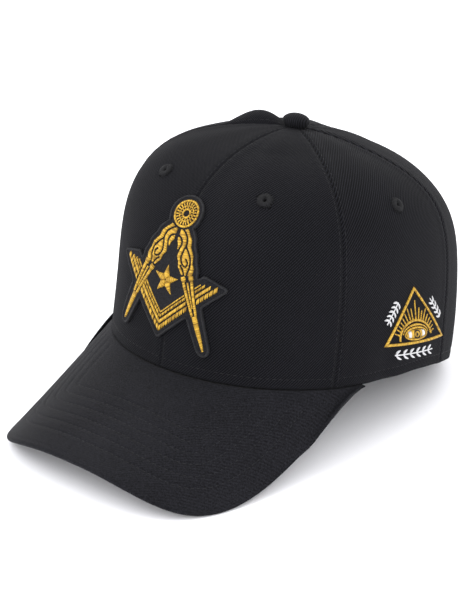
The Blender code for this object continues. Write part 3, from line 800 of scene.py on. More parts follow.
def crest(share, width, puff=PUFF):
    """How high a satin thread of some width stands, at shares of its length."""
    return np.sin(share * pi) ** 0.6 * np.minimum(puff, width * STEEPEST_PUFF)


def satin(left, right, lift, puff=PUFF, slant=0.0, pitch=THREAD_PITCH):
    """Threads laid side by side from a band's left edge to its right edge."""
    length = lengths_along((left + right) / 2)[-1]
    count = max(2, int(length / pitch))
    starts, ends = evenly(left, count), evenly(right, count)
    shift = int(round(slant / pitch))
    if shift:
        starts, ends = starts[:-shift], ends[shift:]
    share = np.linspace(0, 1, THREAD_STATIONS)[None, :, None]
    flat = starts[:, None] * (1 - share) + ends[:, None] * share
    width = np.linalg.norm(ends - starts, axis=-1)[:, None, None]
    rise = crest(share, width, puff) + lift
    return np.concatenate([flat, rise + 0 * flat[..., :1]], axis=-1)


def stroke(path, widths, lift, **satin_options):
    """Satin band along a path, with its width at each end and between."""
    fine = evenly(np.asarray(path, dtype=float), CURVE_POINTS)
    share, stations = np.linspace(0, 1, CURVE_POINTS), np.linspace(0, 1, len(widths))
    return satin(*edges_of(fine, np.interp(share, stations, widths)), lift, **satin_options)


def smooth_path(points, steps=12):
    """Smooth curve through flat points."""
    points = np.asarray(points, dtype=float)
    held = np.vstack([2 * points[0] - points[1], points, 2 * points[-1] - points[-2]])
    t = np.linspace(0, 1, steps, endpoint=False)[:, None]
    pieces = []
    for a, b, c, d in zip(held, held[1:], held[2:], held[3:]):
        cubic = c - a + t * (2 * a - 5 * b + 4 * c - d + t * (3 * (b - c) + d - a))
        pieces.append(b + 0.5 * t * cubic)
    return np.vstack(pieces + [points[-1:]])


def stitches(path, normals):
    """Sewing stitches along a path on a surface: threads by stations by x, y and z."""
    length = lengths_along(path)[-1]
    count = max(1, int(length / (STITCH + STITCH_SPACE)))
    starts = (np.arange(count) + 0.5) * length / count - STITCH / 2
    share = np.linspace(0, 1, THREAD_STATIONS)
    lengths = starts[:, None] + share * STITCH
    rise = np.sin(share * pi) ** 0.5 * STITCH_WIDTH * STITCH_PUFF - STITCH_SINK
    out = unit(at_lengths(path, lengths, normals))
    return at_lengths(path, lengths) + out * rise[None, :, None]


def sewn(name, lines, width, finish):
    """Black threads whose stations are points in space."""
    return thread_tubes(name, lines, width, lambda points: points, finish)


# Pieces

def panel_grid(panel):
    """Angles and climbs of a panel's points, closer together at its seams."""
    share = packed(np.linspace(0, 1, PANEL_COLUMNS + 1), COLUMN_PACKING)
    angle = panel.start + (panel.end - panel.start) * share
    low = climb_at(rim_height(angle))
    top = climb_from_button(angle, BUTTON_WIDTH * CLOTH_TOP)
    rise = packed(np.linspace(0, 1, PANEL_ROWS + 1), ROW_PACKING)[:, None]
    return angle + 0 * rise, low + (top - low) * rise


def sewing(panel, angle, climb):
    """Relief that sewing gives a panel: seam valleys, folded edges, puckers and the hem's roll."""
    pace = pace_round(angle, climb)
    seam = np.minimum(angle - panel.start, panel.end - angle) * pace
    height = (climb - climb_at(rim_height(angle))) * CROWN_HEIGHT * pi / 2
    rise = RIDGE_HEIGHT * hill(seam - RIDGE_PLACE, RIDGE_SPREAD)
    rise -= SEAM_DEPTH * hill(seam, SEAM_SPREAD)
    rise -= HEM_DIP * hill(height - HEM_ROW, HEM_DIP_SPREAD)
    wander = PUCKER_WANDER * np.sin(PUCKER_WANDER_PACE * height)
    pucker = np.sin(2 * pi * height / PUCKER_PITCH + wander)
    rise += PUCKER_HEIGHT * pucker * np.exp(-seam / PUCKER_REACH)
    return rise - HEM_ROLL * np.clip(1 - height / HEM_ROLL, 0, 1) ** 2


def panel_face(panel, angle, climb):
    """Spots on a panel's sewn outer face."""
    return raised(angle, climb, swell(panel, angle, climb) + sewing(panel, angle, climb))


def eyelet_spot(panel):
    """Middle of a panel's eyelet and the normal there."""
    angle = np.array(panel.start + (panel.end - panel.start) * panel.eyelet)
    climb = climb_at(by_side(angle, EYELET_HEIGHT))
    return panel_face(panel, angle, climb), crown_normal(angle, climb)


def make_panel(panel):
    """Cloth of a panel, open under its eyelet."""
    angle, climb = panel_grid(panel)
    points = panel_face(panel, angle, climb)
    across = lengths_along(points, axis=1)
    across = across - across[:, PANEL_COLUMNS // 2, None]
    up = lengths_along(points) + rim_height(angle[:1])
    faces = grid_faces(*angle.shape)
    made = mesh_piece("cloth_" + panel.name, points.reshape(-1, 3), faces, BLACK_TWILL)
    lay_twill(made, across, up, TWILL_LEAN)
    open_eyelet(made, eyelet_spot(panel)[0])
    wall = made.modifiers.new("wall", "SOLIDIFY")
    wall.thickness = CLOTH - CLOTH_SPARE
    wall.offset = -1
    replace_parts(made, "panel_" + panel.name)


def open_eyelet(made, middle):
    """Round hole through the cloth, its edge hidden under the eyelet's thread."""
    middle = Vector(placed(middle))
    hole = EYELET_WIDTH * EYELET_HOLE_SHARE
    form = bmesh.new()
    form.from_mesh(made.data)
    inside = [vert for vert in form.verts if (vert.co - middle).length < hole]
    bmesh.ops.delete(form, geom=inside, context="VERTS")
    for vert in form.verts:
        away = vert.co - middle
        if vert.is_boundary and away.length < 2 * hole:
            vert.co = middle + away.normalized() * hole
    form.to_mesh(made.data)
    form.free()


def make_eyelet(panel):
    """Eyelet wound with thread: a ring whose threads run in and out through the hole."""
    middle, normal = eyelet_spot(panel)
    side = unit(np.cross(np.array([0.0, 0.0, 1.0]), normal))
    over = np.cross(normal, side)
    count = EYELET_THREADS
    turns = np.arange(count) + EYELET_UNEVEN_TURNS * RANDOM.random(count)
    turns = turns * 2 * pi / count
    bore, rim = EYELET_BORE / 2, EYELET_WIDTH / 2
    profile = np.array([
        (bore, -CLOTH), (bore, -EYELET_SINK), (bore * 1.25, EYELET_RELIEF * 0.65),
        (bore * 2.0, EYELET_RELIEF), (rim * 0.78, EYELET_RELIEF * 0.75), (rim, -EYELET_SINK)])
    out = side * np.cos(turns)[:, None] + over * np.sin(turns)[:, None]
    uneven = 1 + EYELET_UNEVEN_RIM * RANDOM.standard_normal((count, 1, 1))
    reach = profile[None, :, :1] * np.where(profile[:, :1] > rim * 0.9, uneven, 1)
    lines = middle + out[:, None] * reach + normal * profile[None, :, 1:]
    made = sewn("eyelet_thread_" + panel.name, lines, EYELET_THREAD_WIDTH, EYELET_THREAD)
    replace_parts(made, "eyelet_" + panel.name)


def make_panels():
    """The six panels, each with its eyelet."""
    for panel in PANELS:
        make_panel(panel)
        make_eyelet(panel)


def seam_path(panel, seam, distance):
    """Points and normals along a stitch row beside a seam."""
    climb = np.linspace(0, 1, 160)
    angle = np.full_like(climb, seam)
    low, top = climb_at(rim_height(angle)), climb_from_button(angle, BUTTON_WIDTH * STITCH_TOP)
    climb = low + (top - low) * climb
    angle = angle + distance / pace_round(angle, climb)
    return panel_face(panel, angle, climb), crown_normal(angle, climb)


def make_seam_stitches():
    """A stitch row on both sides of each seam, and one along the hem."""
    for panel in PANELS:
        rows = [stitches(*seam_path(panel, panel.start, SEAM_ROW)),
                stitches(*seam_path(panel, panel.end, -SEAM_ROW))]
        sewn("stitches_" + panel.name, np.concatenate(rows), STITCH_WIDTH, SEWING_THREAD)
        angle = np.linspace(panel.start + HEM_ROW_INSET, panel.end - HEM_ROW_INSET, 200)
        climb = climb_at(rim_height(angle) + HEM_ROW)
        hem = stitches(panel_face(panel, angle, climb), crown_normal(angle, climb))
        sewn("stitches_hem_" + panel.name, hem, STITCH_WIDTH, BLACK_THREAD)


def bill_grid():
    """Turns along the bill, and how far out each row of its points lies."""
    turn = pi * packed(np.linspace(0, 1, BILL_COLUMNS + 1), BILL_PACKING)
    out = np.concatenate([[-1.0], np.linspace(0, 1, BILL_ROWS)])
    return np.meshgrid(turn, out)


def distance_to_edge(points):
    """Distance from the bill's points to its outer edge."""
    edge = bill_edge(np.linspace(0, pi, 500))
    return np.min(np.linalg.norm(points[:, :, None] - edge, axis=-1), axis=-1)


def bill_faces(turn, out):
    """Top points, outward normals and distances from the edge of the bill's grid."""
    length = np.linalg.norm(bill_edge(turn[0]) - bill_skin(turn[0], 0 * turn[0]), axis=-1)
    drawn_in = np.minimum(BILL_DRAW_IN * bill_thickness(turn[0]) / length, BILL_DRAW_IN_LIMIT)
    points = bill_skin(turn, np.where(out > 0, out * (1 - drawn_in), out))
    normal = unit(np.cross(np.gradient(points, axis=0), np.gradient(points, axis=1)))
    normal *= np.sign(normal[..., 2].mean())
    normal[:2] = normal[2]
    inside = np.concatenate([distance_to_edge(rows) for rows in np.array_split(points, 12)])
    return points, normal, inside


def make_bill_allowance():
    """Cloth that the bill is sewn on by, turned up behind the front of the crown."""
    angle = np.linspace(-BILL_END, BILL_END, 160)
    low, high = rim_height(angle) - ALLOWANCE_OVERLAP, rim_height(angle) + ALLOWANCE_HEIGHT
    rise = np.linspace(0, 1, 6)[:, None]
    height = low + (high - low) * np.concatenate([rise, rise[::-1]])
    depth = CLOTH + FIT_GAP + np.repeat([0.0, ALLOWANCE_THICKNESS], len(rise))[:, None]
    section = crown_skin(angle + 0 * height, climb_at(height), -depth)
    faces = closed_faces(*height.shape)
    made = mesh_piece("bill_allowance", section.reshape(-1, 3), faces, BLACK_TWILL)
    lay_twill(made, (angle * HEAD_WIDTH / 2)[None] + 0 * height, height, TWILL_LEAN)


def bill_stitch_distances():
    """Distances of the bill's stitch rows from its outer edge."""
    return [BILL_FIRST_ROW + row * BILL_ROW_SPACE for row in range(BILL_STITCH_ROWS)]


def make_bill():
    """Bill in two layers of twill round a board, closed round its edge, with rows of stitches."""
    turn, out = bill_grid()
    points, normal, inside = bill_faces(turn, out)
    groove = sum(hill(inside - row, BILL_GROOVE_SPREAD) for row in bill_stitch_distances())
    seam = hill(inside - EDGE_SEAM, EDGE_SEAM_SPREAD)
    relief = (BILL_GROOVE * groove + EDGE_SEAM_DEPTH * seam) * ease(out * 12)
    top = points - normal * relief[..., None]
    thickness = bill_thickness(turn[0])[:, None]
    radius = thickness / 2
    edge_out = unit(points[-1] - points[-8])
    turns = np.linspace(0, pi, 9)[1:-1, None, None]
    rolled = points[-1] - normal[-1] * radius
    rolled = rolled + (normal[-1] * np.cos(turns) + edge_out * np.sin(turns) * BILL_ROLL) * radius
    under = (points - normal * thickness)[::-1]
    section = np.concatenate([top, rolled, under])
    faces = [face[::-1] for face in closed_faces(*section.shape[:2])]
    made = mesh_piece("cloth_bill", section.reshape(-1, 3), faces, BILL_TWILL)
    lay_twill(made, section[..., 0], section[..., 1], BILL_TWILL_LEAN)
    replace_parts(made, "bill")
    make_bill_stitches(top, normal, inside)


def make_bill_stitches(top, normal, inside):
    """Stitch rows that follow the bill's outer edge and end at the crown."""
    threads = []
    for distance in bill_stitch_distances():
        path, outs = [], []
        for column in range(top.shape[1]):
            depths = inside[1:, column]
            if depths[0] > distance + 0.001:
                place = np.interp(-distance, -depths, np.arange(len(depths)) + 1)
                low = int(place)
                share = place - low
                high = min(low + 1, top.shape[0] - 1)
                path.append(top[low, column] * (1 - share) + top[high, column] * share)
                outs.append(normal[low, column])
        threads.append(stitches(np.array(path), np.array(outs)))
    sewn("stitches_bill", np.concatenate(threads), STITCH_WIDTH, BLACK_THREAD)


def button_profile():
    """Button's section from its top to its foot: metres from its middle and over its seat."""
    half, base = BUTTON_WIDTH / 2, FIT_GAP
    dome = [(half * sin(turn), base + BUTTON_HEIGHT * (1 - BUTTON_DOME_SHARE * (1 - cos(turn))))
            for turn in np.linspace(0, pi / 2, 16)]
    tuck = [(half * 0.985, base + BUTTON_HEIGHT * 0.26), (half * 0.93, base + BUTTON_HEIGHT * 0.12),
            (half * 0.80, -0.0002), (half * 0.5, -0.0012), (0.0, -0.0014)]
    return np.array(dome + tuck)


def make_button():
    """Covered button: a low dome with a tucked edge, on the meeting point of the seams."""
    (_, top_height), *profile, (_, low_height) = button_profile()
    profile = np.array(profile)
    sides = BUTTON_SIDES
    angle = np.arange(sides) * 2 * pi / sides
    gather = BUTTON_GATHER_DEPTH * np.sin(BUTTON_GATHERS * angle)
    gather = 1 + gather * np.linspace(0, 1, len(profile))[:, None]
    x = profile[:, :1] * np.cos(angle) * gather
    y = profile[:, :1] * np.sin(angle) * gather
    rings = np.stack([x, y, profile[:, 1:] + 0 * x], axis=-1)
    points = np.vstack([rings.reshape(-1, 3), (0, 0, top_height), (0, 0, low_height)])
    faces = [face[::-1] for face in grid_faces(len(profile), sides, wrap_columns=True)]
    top, low = len(points) - 2, len(points) - 1
    last = (len(profile) - 1) * sides
    faces += [(top, i, (i + 1) % sides) for i in range(sides)]
    faces += [(low, last + (i + 1) % sides, last + i) for i in range(sides)]
    seat = np.array([0, -CROWN_LEAN, CROWN_HEIGHT])
    made = mesh_piece("button_cover", points + seat, faces, BUTTON_TWILL)
    lay_twill(made, points[:, 0], points[:, 1], BUTTON_TWILL_LEAN)
    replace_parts(made, "top_button")


# Front patch

def leg_frame(side):
    """Hinge of a leg, the way down it and the way across it, and its length."""
    hinge = np.array([0.0, HINGE_HEIGHT])
    tip = np.array([side * LEG_TIP_REACH, LEG_TIP_HEIGHT])
    length = hypot(*(tip - hinge))
    down = (tip - hinge) / length
    return hinge, down, left_of(down) * side, length


def on_leg(side, spots):
    """Flat points from shares down a leg and metres across it, positive to the outside."""
    hinge, down, over, length = leg_frame(side)
    spots = np.asarray(spots, dtype=float)
    return hinge + down * spots[:, :1] * length + over * spots[:, 1:]


def meet(a, toward, b, other):
    """Where two lines meet."""
    along, across = toward - a, other - b
    out = left_of(across)
    return a + along * ((b - a) @ out / (along @ out))


def ellipse(centre, radii, start=0, end=360, count=CURVE_POINTS):
    """Arc from one angle in degrees to another."""
    turns = np.radians(np.linspace(start, end, count))
    return np.asarray(centre) + np.stack([np.cos(turns), np.sin(turns)], axis=-1) * radii


# Outer edge of a leg's scrolled part: share of the way down it, share of its full width
LEG_BULGES = (
    (0.13, 0.62), (0.20, 0.92), (0.25, 0.80), (0.31, 1.0), (0.37, 0.86), (0.43, 0.92), (0.47, 0.68))


def half_outline():
    """Patch's outline on the wearer's left, from the top of the rosette to the square's corner."""
    grow = PATCH_MARGIN
    radius = ROSETTE_WIDTH / 2 + grow
    rosette = ellipse((0.0, HINGE_HEIGHT), (radius, radius), 90, -40, 14)
    half_scroll = LEG_SCROLL_WIDTH / 2
    bulges = on_leg(1, [(share, half_scroll * width + grow) for share, width in LEG_BULGES])
    blade, tip = LEG_BLADE_WIDTH / 2 + grow, LEG_TIP_WIDTH / 2 + grow
    outer_top, outer_tip = on_leg(1, [(0.5, blade), (1.0, tip)])
    inner_top, inner_tip = on_leg(1, [(0.5, -blade), (1.0, -tip)])
    point = on_leg(1, [(1.035, tip * 0.55), (1.045, 0.0), (1.035, -tip * 0.55)])
    low = np.array([0.0, SQUARE_HEIGHT - grow * DIAGONAL])
    high = np.array([0.0, SQUARE_HEIGHT + (SQUARE_WIDTH + grow) * DIAGONAL])
    end = SQUARE_HEIGHT + SQUARE_ARM / DIAGONAL + grow
    arm_in = meet(outer_top, outer_tip, high, high + 1.0)
    arm_out = meet(outer_top, outer_tip, low, low + 1.0)
    arm_back = meet(inner_top, inner_tip, low, low + 1.0)
    blunt = end - low[1] - grow
    arm_end = [(end + grow - high[1], end + grow), (blunt, end - grow / 2), (blunt, end - grow)]
    return np.vstack([
        rosette, bulges, arm_in, arm_end, arm_out, outer_tip, point, inner_tip, arm_back, low])


def patch_outline():
    """Whole outline of the patch, its corners a little rounded."""
    half = half_outline()
    mirrored = half[::-1] * (-1.0, 1.0)
    closed = np.vstack([half, mirrored[1:]])
    spots = evenly(closed, int(lengths_along(closed)[-1] / OUTLINE_STEP))[:-1]
    for _ in range(3):
        spots = (np.roll(spots, 1, axis=0) + spots * 2 + np.roll(spots, -1, axis=0)) / 4
    return spots


def inside_first(outline):
    """Turns an outline so that its left side is its inside."""
    after = np.roll(outline, -1, axis=0)
    area = np.sum(outline[:, 0] * after[:, 1] - outline[:, 1] * after[:, 0])
    return outline if area > 0 else outline[::-1]


def cut_plate(name, outline, low, high, place, finish):
    """Flat plate in an outline, cut fine enough to bend onto the crown."""
    form = bmesh.new()
    verts = [form.verts.new((x, y, 0)) for x, y in outline]
    edges = [form.edges.new((a, b)) for a, b in zip(verts, verts[1:] + verts[:1])]
    bmesh.ops.triangle_fill(form, edges=edges, use_beauty=True, use_dissolve=False)
    bmesh.ops.dissolve_limit(form, angle_limit=0.01, verts=form.verts, edges=form.edges)
    for axis in (0, 1):
        side = Vector((1 - axis, axis, 0))
        lows, highs = np.min(outline[:, axis]), np.max(outline[:, axis])
        for step in np.arange(lows + PLATE_PITCH, highs, PLATE_PITCH):
            everything = form.verts[:] + form.edges[:] + form.faces[:]
            bmesh.ops.bisect_plane(
                form, geom=everything, dist=1e-6, plane_co=side * step, plane_no=side)
    bmesh.ops.triangulate(form, faces=form.faces)
    bmesh.ops.recalc_face_normals(form, faces=form.faces)
    if sum(face.normal.z for face in form.faces) < 0:
        bmesh.ops.reverse_faces(form, faces=form.faces)
    form.verts.index_update()
    flat = np.array([vert.co[:] for vert in form.verts])
    faces = [[vert.index for vert in face.verts] for face in form.faces]
    rims = [[loop.vert.index for loop in (edge.link_loops[0], edge.link_loops[0].link_loop_next)]
            for edge in form.edges if edge.is_boundary]
    form.free()
    count = len(flat)
    lower, upper = flat + np.array([0, 0, low]), flat + np.array([0, 0, high])
    faces = [[i + count for i in face] for face in faces] + [face[::-1] for face in faces]
    faces += [[a, b, b + count, a + count] for a, b in rims]
    return mesh_piece(name, place(np.vstack([lower, upper])), faces, finish, smooth=False)


# A border thread's stations, up and over the felt's edge: shares of the border's width inwards, of
# the felt's thickness, and of the border's height over it
BorderSpot = namedtuple("BorderSpot", "inward felt height")
BORDER_SPOTS = (
    BorderSpot(-0.10, 0.0, 0.0), BorderSpot(-0.22, 0.55, 0.0), BorderSpot(-0.05, 1.0, 0.6),
    BorderSpot(0.35, 1.0, 1.0), BorderSpot(0.80, 1.0, 0.5), BorderSpot(1.0, 1.0, -0.25),
)


def border_threads(outline, low, high):
    """Overlock border: slanted threads that wrap round the edge of a plate."""
    outline = inside_first(outline)
    closed = np.vstack([outline, outline[:1]])
    length = lengths_along(closed)[-1]
    count = int(length / BORDER_PITCH)
    path = at_lengths(closed, np.linspace(0, length, count, endpoint=False))
    along = unit(np.roll(path, -2, axis=0) - np.roll(path, 2, axis=0))
    inward, felt_share, height = np.array(BORDER_SPOTS).T
    across = (inward * BORDER_WIDTH)[:, None]
    rise = low + (high - low) * felt_share + BORDER_HEIGHT * height
    slide = np.linspace(-0.25, 0.25, THREAD_STATIONS)[:, None] * BORDER_WIDTH
    flat = path[:, None] + left_of(along)[:, None] * across + along[:, None] * slide
    return np.concatenate([flat, rise[None, :, None] + 0 * flat[..., :1]], axis=-1)


def ring(radius, width, lift, start=0.0, end=360.0):
    """Satin along an arc round the hinge."""
    count = 96 if end - start > 90 else 8
    outer, inner = (ellipse((0.0, HINGE_HEIGHT), (reach, reach), start, end, count)
                    for reach in (radius + width / 2, radius - width / 2))
    return satin(outer, inner, lift)


# Rings of the rosette as shares of its radius: inner and outer edge, and the number of bars in it
# with the share of the ring that they fill, or none for a solid ring
RosetteRing = namedtuple("RosetteRing", "inner outer bars filled")
ROSETTE_RINGS = (
    RosetteRing(0.86, 0.995, None, None),
    RosetteRing(0.60, 0.84, 22, 0.20),
    RosetteRing(0.52, 0.58, None, None),
    RosetteRing(0.38, 0.50, 14, 0.12),
    RosetteRing(0.24, 0.36, None, None),
)


def rosette_threads(lift):
    """Hinge: solid rings with a row of short bars between each two."""
    threads = []
    for band in ROSETTE_RINGS:
        radius = (band.inner + band.outer) / 2 * ROSETTE_WIDTH / 2
        width = (band.outer - band.inner) * ROSETTE_WIDTH / 2
        if band.bars is None:
            threads.append(ring(radius, width, lift))
        else:
            step = 360 / band.bars
            threads += [ring(radius, width, lift - SUNK, bar * step, (bar + band.filled) * step)
                        for bar in range(band.bars)]
    return threads


# Scrolls of a leg: dark lines that part its gold threads, and the leg's edge. Spots are (share down
# the leg, share across it to the outside)
SCROLL_LINES = (
    ((0.105, -0.30), (0.140, 0.10), (0.185, 0.36), (0.230, 0.28), (0.270, -0.12), (0.312, -0.46),
     (0.358, -0.42), (0.385, -0.04), (0.362, 0.26), (0.332, 0.12)),
    ((0.240, 0.20), (0.285, 0.46), (0.335, 0.62), (0.390, 0.46), (0.425, 0.14), (0.447, 0.0)),
    ((0.150, -0.75), (0.185, -0.34), (0.222, -0.34), (0.252, -0.66), (0.290, -1.0)),
    ((0.372, -0.62), (0.405, -0.40), (0.447, -0.34)),
)
SCROLL_EDGE = (
    (0.105, 0.42), (0.145, 0.66), (0.190, 0.90), (0.240, 0.78), (0.300, 1.0), (0.350, 0.84),
    (0.395, 0.90), (0.447, 0.60))


def scroll_threads(side, lift):
    """Gold threads laid across a leg's scrolled part, parted along its dark lines."""
    half = LEG_SCROLL_WIDTH / 2
    length = leg_frame(side)[3]
    edge = np.array(SCROLL_EDGE)
    lines = [smooth_path(np.array(line) * (length, half)) for line in SCROLL_LINES]
    dark = np.concatenate([evenly(line, 60) for line in lines])
    threads = []
    for down in np.arange(edge[0, 0] * length, edge[-1, 0] * length, THREAD_PITCH):
        reach = half * np.interp(down / length, edge[:, 0], edge[:, 1])
        across = np.linspace(-reach, reach, 70)
        slanted = down + across * SCROLL_SLANT
        spots = np.stack([slanted, across], axis=-1)
        near = np.min(np.linalg.norm(spots[:, None] - dark, axis=-1), axis=-1)
        flat = on_leg(side, spots / (length, 1.0)) - (0.0, HINGE_HEIGHT)
        apart = side * flat[:, 0] > LEG_PARTING
        apart &= np.hypot(*flat.T) > ROSETTE_WIDTH / 2 + ROSETTE_GAP
        gold = (apart & (near > SCROLL_GAP / 2)).astype(int)
        turns = np.diff(np.concatenate([[0], gold, [0]]))
        for start, stop in zip(np.flatnonzero(turns == 1), np.flatnonzero(turns == -1)):
            width = across[stop - 1] - across[start]
            if width > THREAD_WIDTH:
                share = np.linspace(0, 1, THREAD_STATIONS)[:, None]
                run = spots[start] + (spots[stop - 1] - spots[start]) * share
                run = on_leg(side, run / (length, 1.0))
                threads.append(np.hstack([run, crest(share, width) + lift]))
    return np.array(threads)


# Bands of a leg under its scrolls: where each starts and ends (share down the leg, metres across
# it), its width from end to end, and how far its threads slant
LegBand = namedtuple("LegBand", "start end widths slant")
LEG_BANDS = (
    LegBand((0.455, -0.0024), (0.486, -0.00216), (0.0026, 0.0030, 0.0024), 0.0),
    LegBand((0.494, -0.0024), (0.740, -0.001008), (0.0016, 0.0014, 0.0013), 0.0004),
    LegBand((0.455, 0.0024), (0.486, 0.00216), (0.0026, 0.0030, 0.0024), 0.0),
    LegBand((0.494, 0.0024), (0.740, 0.001008), (0.0016, 0.0014, 0.0013), 0.0004),
    LegBand((0.500, 0.0), (0.680, 0.0), (0.0009, 0.0006), 0.0),
    LegBand((0.742, 0.0), (1.0, 0.0), (0.0029, 0.0026, 0.0020, 0.0008), 0.0005),
)


def leg_threads(side, lift):
    """A leg: scrolls from hinge to knee, a collar, then a blade of two lines and a point."""
    bands = [stroke(on_leg(side, (band.start, band.end)), band.widths, lift, slant=band.slant)
             for band in LEG_BANDS]
    return [scroll_threads(side, lift)] + bands


def leg_covers(spots, side):
    """True where flat points lie under a leg of the compasses."""
    hinge, down, over, length = leg_frame(side)
    away = (spots - hinge) @ np.stack([down, over], axis=-1)
    width = np.interp(away[:, 0] / length, (0.5, 1.0), (LEG_BLADE_WIDTH, LEG_TIP_WIDTH))
    return np.abs(away[:, 1]) < width / 2 + LEG_CLEARANCE


def arm_spot(side, along, inward):
    """Flat point on an arm: metres up it from the square's corner, and in from its outer edge."""
    corner = np.array([0.0, SQUARE_HEIGHT + inward * DIAGONAL])
    return corner + np.array([side, 1.0]) * along / DIAGONAL


# Lines of the square from its outer edge inwards: first and last distance, and the length of its
# blocks and of the space between them, or none for a solid line
ArmLine = namedtuple("ArmLine", "outer inner block space")
ARM_LINES = (
    ArmLine(0.0001, 0.0021, 0.0016, 0.0012),
    ArmLine(0.0029, 0.0043, None, None),
    ArmLine(0.0052, 0.0063, 0.0012, 0.0010),
    ArmLine(0.0070, 0.0075, None, None),
)


def arm_threads(side, lift):
    """An arm of the square, left bare where a leg of the compasses crosses it."""
    threads = []
    for line in ARM_LINES:
        reach = SQUARE_ARM - line.outer - line.inner
        space = line.space or 0.0
        count = round((reach + space) / (line.block + space)) if line.block else 1
        step = (reach + space) / count
        for start in np.arange(count) * step:
            ends = start, start + step - space
            left, right = (np.array([arm_spot(side, end, edge) for end in ends])
                           for edge in (line.outer, line.inner))
            made = satin(left, right, lift)
            threads.append(made[~leg_covers(made[:, 2, :2], side)])
    return threads


def star_threads(lift):
    """Star: threads across each arm from the middle to its point."""
    outer, inner = STAR_WIDTH / 2, STAR_WIDTH / 2 * STAR_WAIST
    half_arm = pi / STAR_POINTS
    fine = np.linspace(0.0006, outer - 0.0002, CURVE_POINTS)
    reach = np.interp(fine, (0.0, inner * cos(half_arm), outer), (0.0, inner * sin(half_arm), 0.0))
    threads = []
    for arm in range(STAR_POINTS):
        turn = pi / 2 + 2 * half_arm * arm
        axis = np.array([cos(turn), sin(turn)])
        path = np.array([0.0, STAR_HEIGHT]) + axis * fine[:, None]
        out = left_of(axis) * reach[:, None]
        threads.append(satin(path + out, path - out, lift, puff=STAR_PUFF))
    return threads


def embroider(name, threads, place, finish):
    """Joins stitched bands into one piece."""
    return thread_tubes(name, np.concatenate(threads), THREAD_WIDTH, place, finish)


def make_patch():
    """Felt patch with its border, and the gold embroidery on it."""
    base, face = -PATCH_SINK, PATCH_THICKNESS
    outline = patch_outline()
    plate = cut_plate("patch_cloth", outline, base, face, on_front, BLACK_FELT)
    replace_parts(plate, "patch_felt")
    border = border_threads(outline, base, face)
    thread_tubes("patch_border", border, BORDER_THREAD_WIDTH, on_front, BORDER_THREAD)
    lift = face - SUNK
    figures = {
        "compasses": rosette_threads(lift) + leg_threads(1, lift) + leg_threads(-1, lift),
        "square": arm_threads(1, lift) + arm_threads(-1, lift),
        "star": star_threads(lift),
    }
    for node, threads in figures.items():
        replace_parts(embroider(node + "_thread", threads, on_front, GOLD_THREAD), node)


# Eye emblem

def triangle_corners(inset=0.0):
    """Corners of the triangle, or of one that lies inside it."""
    half = TRIANGLE_WIDTH / 2
    corners = np.array([(-half, 0.0), (half, 0.0), (0.0, TRIANGLE_HEIGHT)])
    sides = []
    for here, after in zip(corners, np.roll(corners, -1, axis=0)):
        move = left_of(unit(after - here)) * inset
        sides.append((here + move, after + move))
    return np.array([meet(*sides[i - 1], *sides[i]) for i in range(3)])


def triangle_threads(lift):
    """Satin band along each side of the triangle."""
    outer, inner = triangle_corners(), triangle_corners(TRIANGLE_BAND)
    return [satin(outer[[i, i - 2]], inner[[i, i - 2]], lift) for i in range(3)]


def room_to_frame(foot, out):
    """Distance from a spot inside the triangle to its band, along a direction."""
    corners = triangle_corners(TRIANGLE_BAND + RAY_SPACE)
    rooms = []
    for a, b in zip(corners, np.roll(corners, -1, axis=0)):
        inward = left_of(b - a)
        if out @ inward < 0:
            rooms.append((a - foot) @ inward / (out @ inward))
    return min(rooms)


# Rays: where each stands round the arch, in degrees, and its length as a share of the longest
Ray = namedtuple("Ray", "angle length")
RAYS = tuple(Ray(angle, length) for angle, length in (
    (18, 0.30), (27, 0.34), (36, 0.38), (45, 0.44), (54, 0.48), (63, 0.80), (71, 0.50), (79, 0.62),
    (88, 1.0), (98, 0.60), (106, 0.80), (115, 0.54), (124, 0.66), (133, 0.46), (142, 0.48),
    (151, 0.40), (161, 0.36)))


def sun_threads(lift):
    """Arch over the eye and the rays that stand on it, as far as the triangle leaves room."""
    base = TRIANGLE_BAND + FIT_GAP
    half, middle = SUN_WIDTH / 2, SUN_BAND / 2
    radii = (half - middle, SUN_HEIGHT - middle)
    arch = ellipse((SUN_ALONG, base), radii, SUN_FAR_FOOT, SUN_NEAR_FOOT)
    threads = [stroke(arch, (SUN_BAND, SUN_BAND), lift)]
    for ray in RAYS:
        turn = radians(ray.angle)
        foot = np.array([SUN_ALONG + half * cos(turn), base + SUN_HEIGHT * sin(turn)])
        out = np.array([cos(turn), sin(turn)])
        tip = foot + out * min(LONG_RAY * ray.length, room_to_frame(foot, out))
        threads.append(stroke([foot, tip], RAY_WIDTHS, lift, slant=RAY_SLANT))
    return threads


def eye_middle():
    return np.array([SUN_ALONG, TRIANGLE_BAND + FIT_GAP * 2 + EYE_OPENING * EYE_LEVEL])


# Lines of the eye, the brow, the upper lid and the lower one: shares of its half width and of its
# opening, the angles of its ends, and its widths
EyeLine = namedtuple("EyeLine", "reach rise start end widths")
EYE_LINES = (
    EyeLine(1.0, 0.78, 170, 10, (0.0004, 0.0012, 0.0004)),
    EyeLine(0.86, 0.552, 180, 0, (0.0007, 0.0011, 0.0007)),
    EyeLine(0.86, 0.344, 180, 360, (0.0006, 0.0011, 0.0006)),
)

# Fills on each side of the eye: inner and outer end as shares of its half width, and shares of the
# opening over its level and under it
EyeFill = namedtuple("EyeFill", "inner outer top low")
GOLD_FILLS = (EyeFill(0.0, 0.40, 0.70, 0.62), EyeFill(0.66, 0.78, 0.66, 0.60))
WHITE_FILLS = (EyeFill(0.44, 0.62, 0.70, 0.60),)


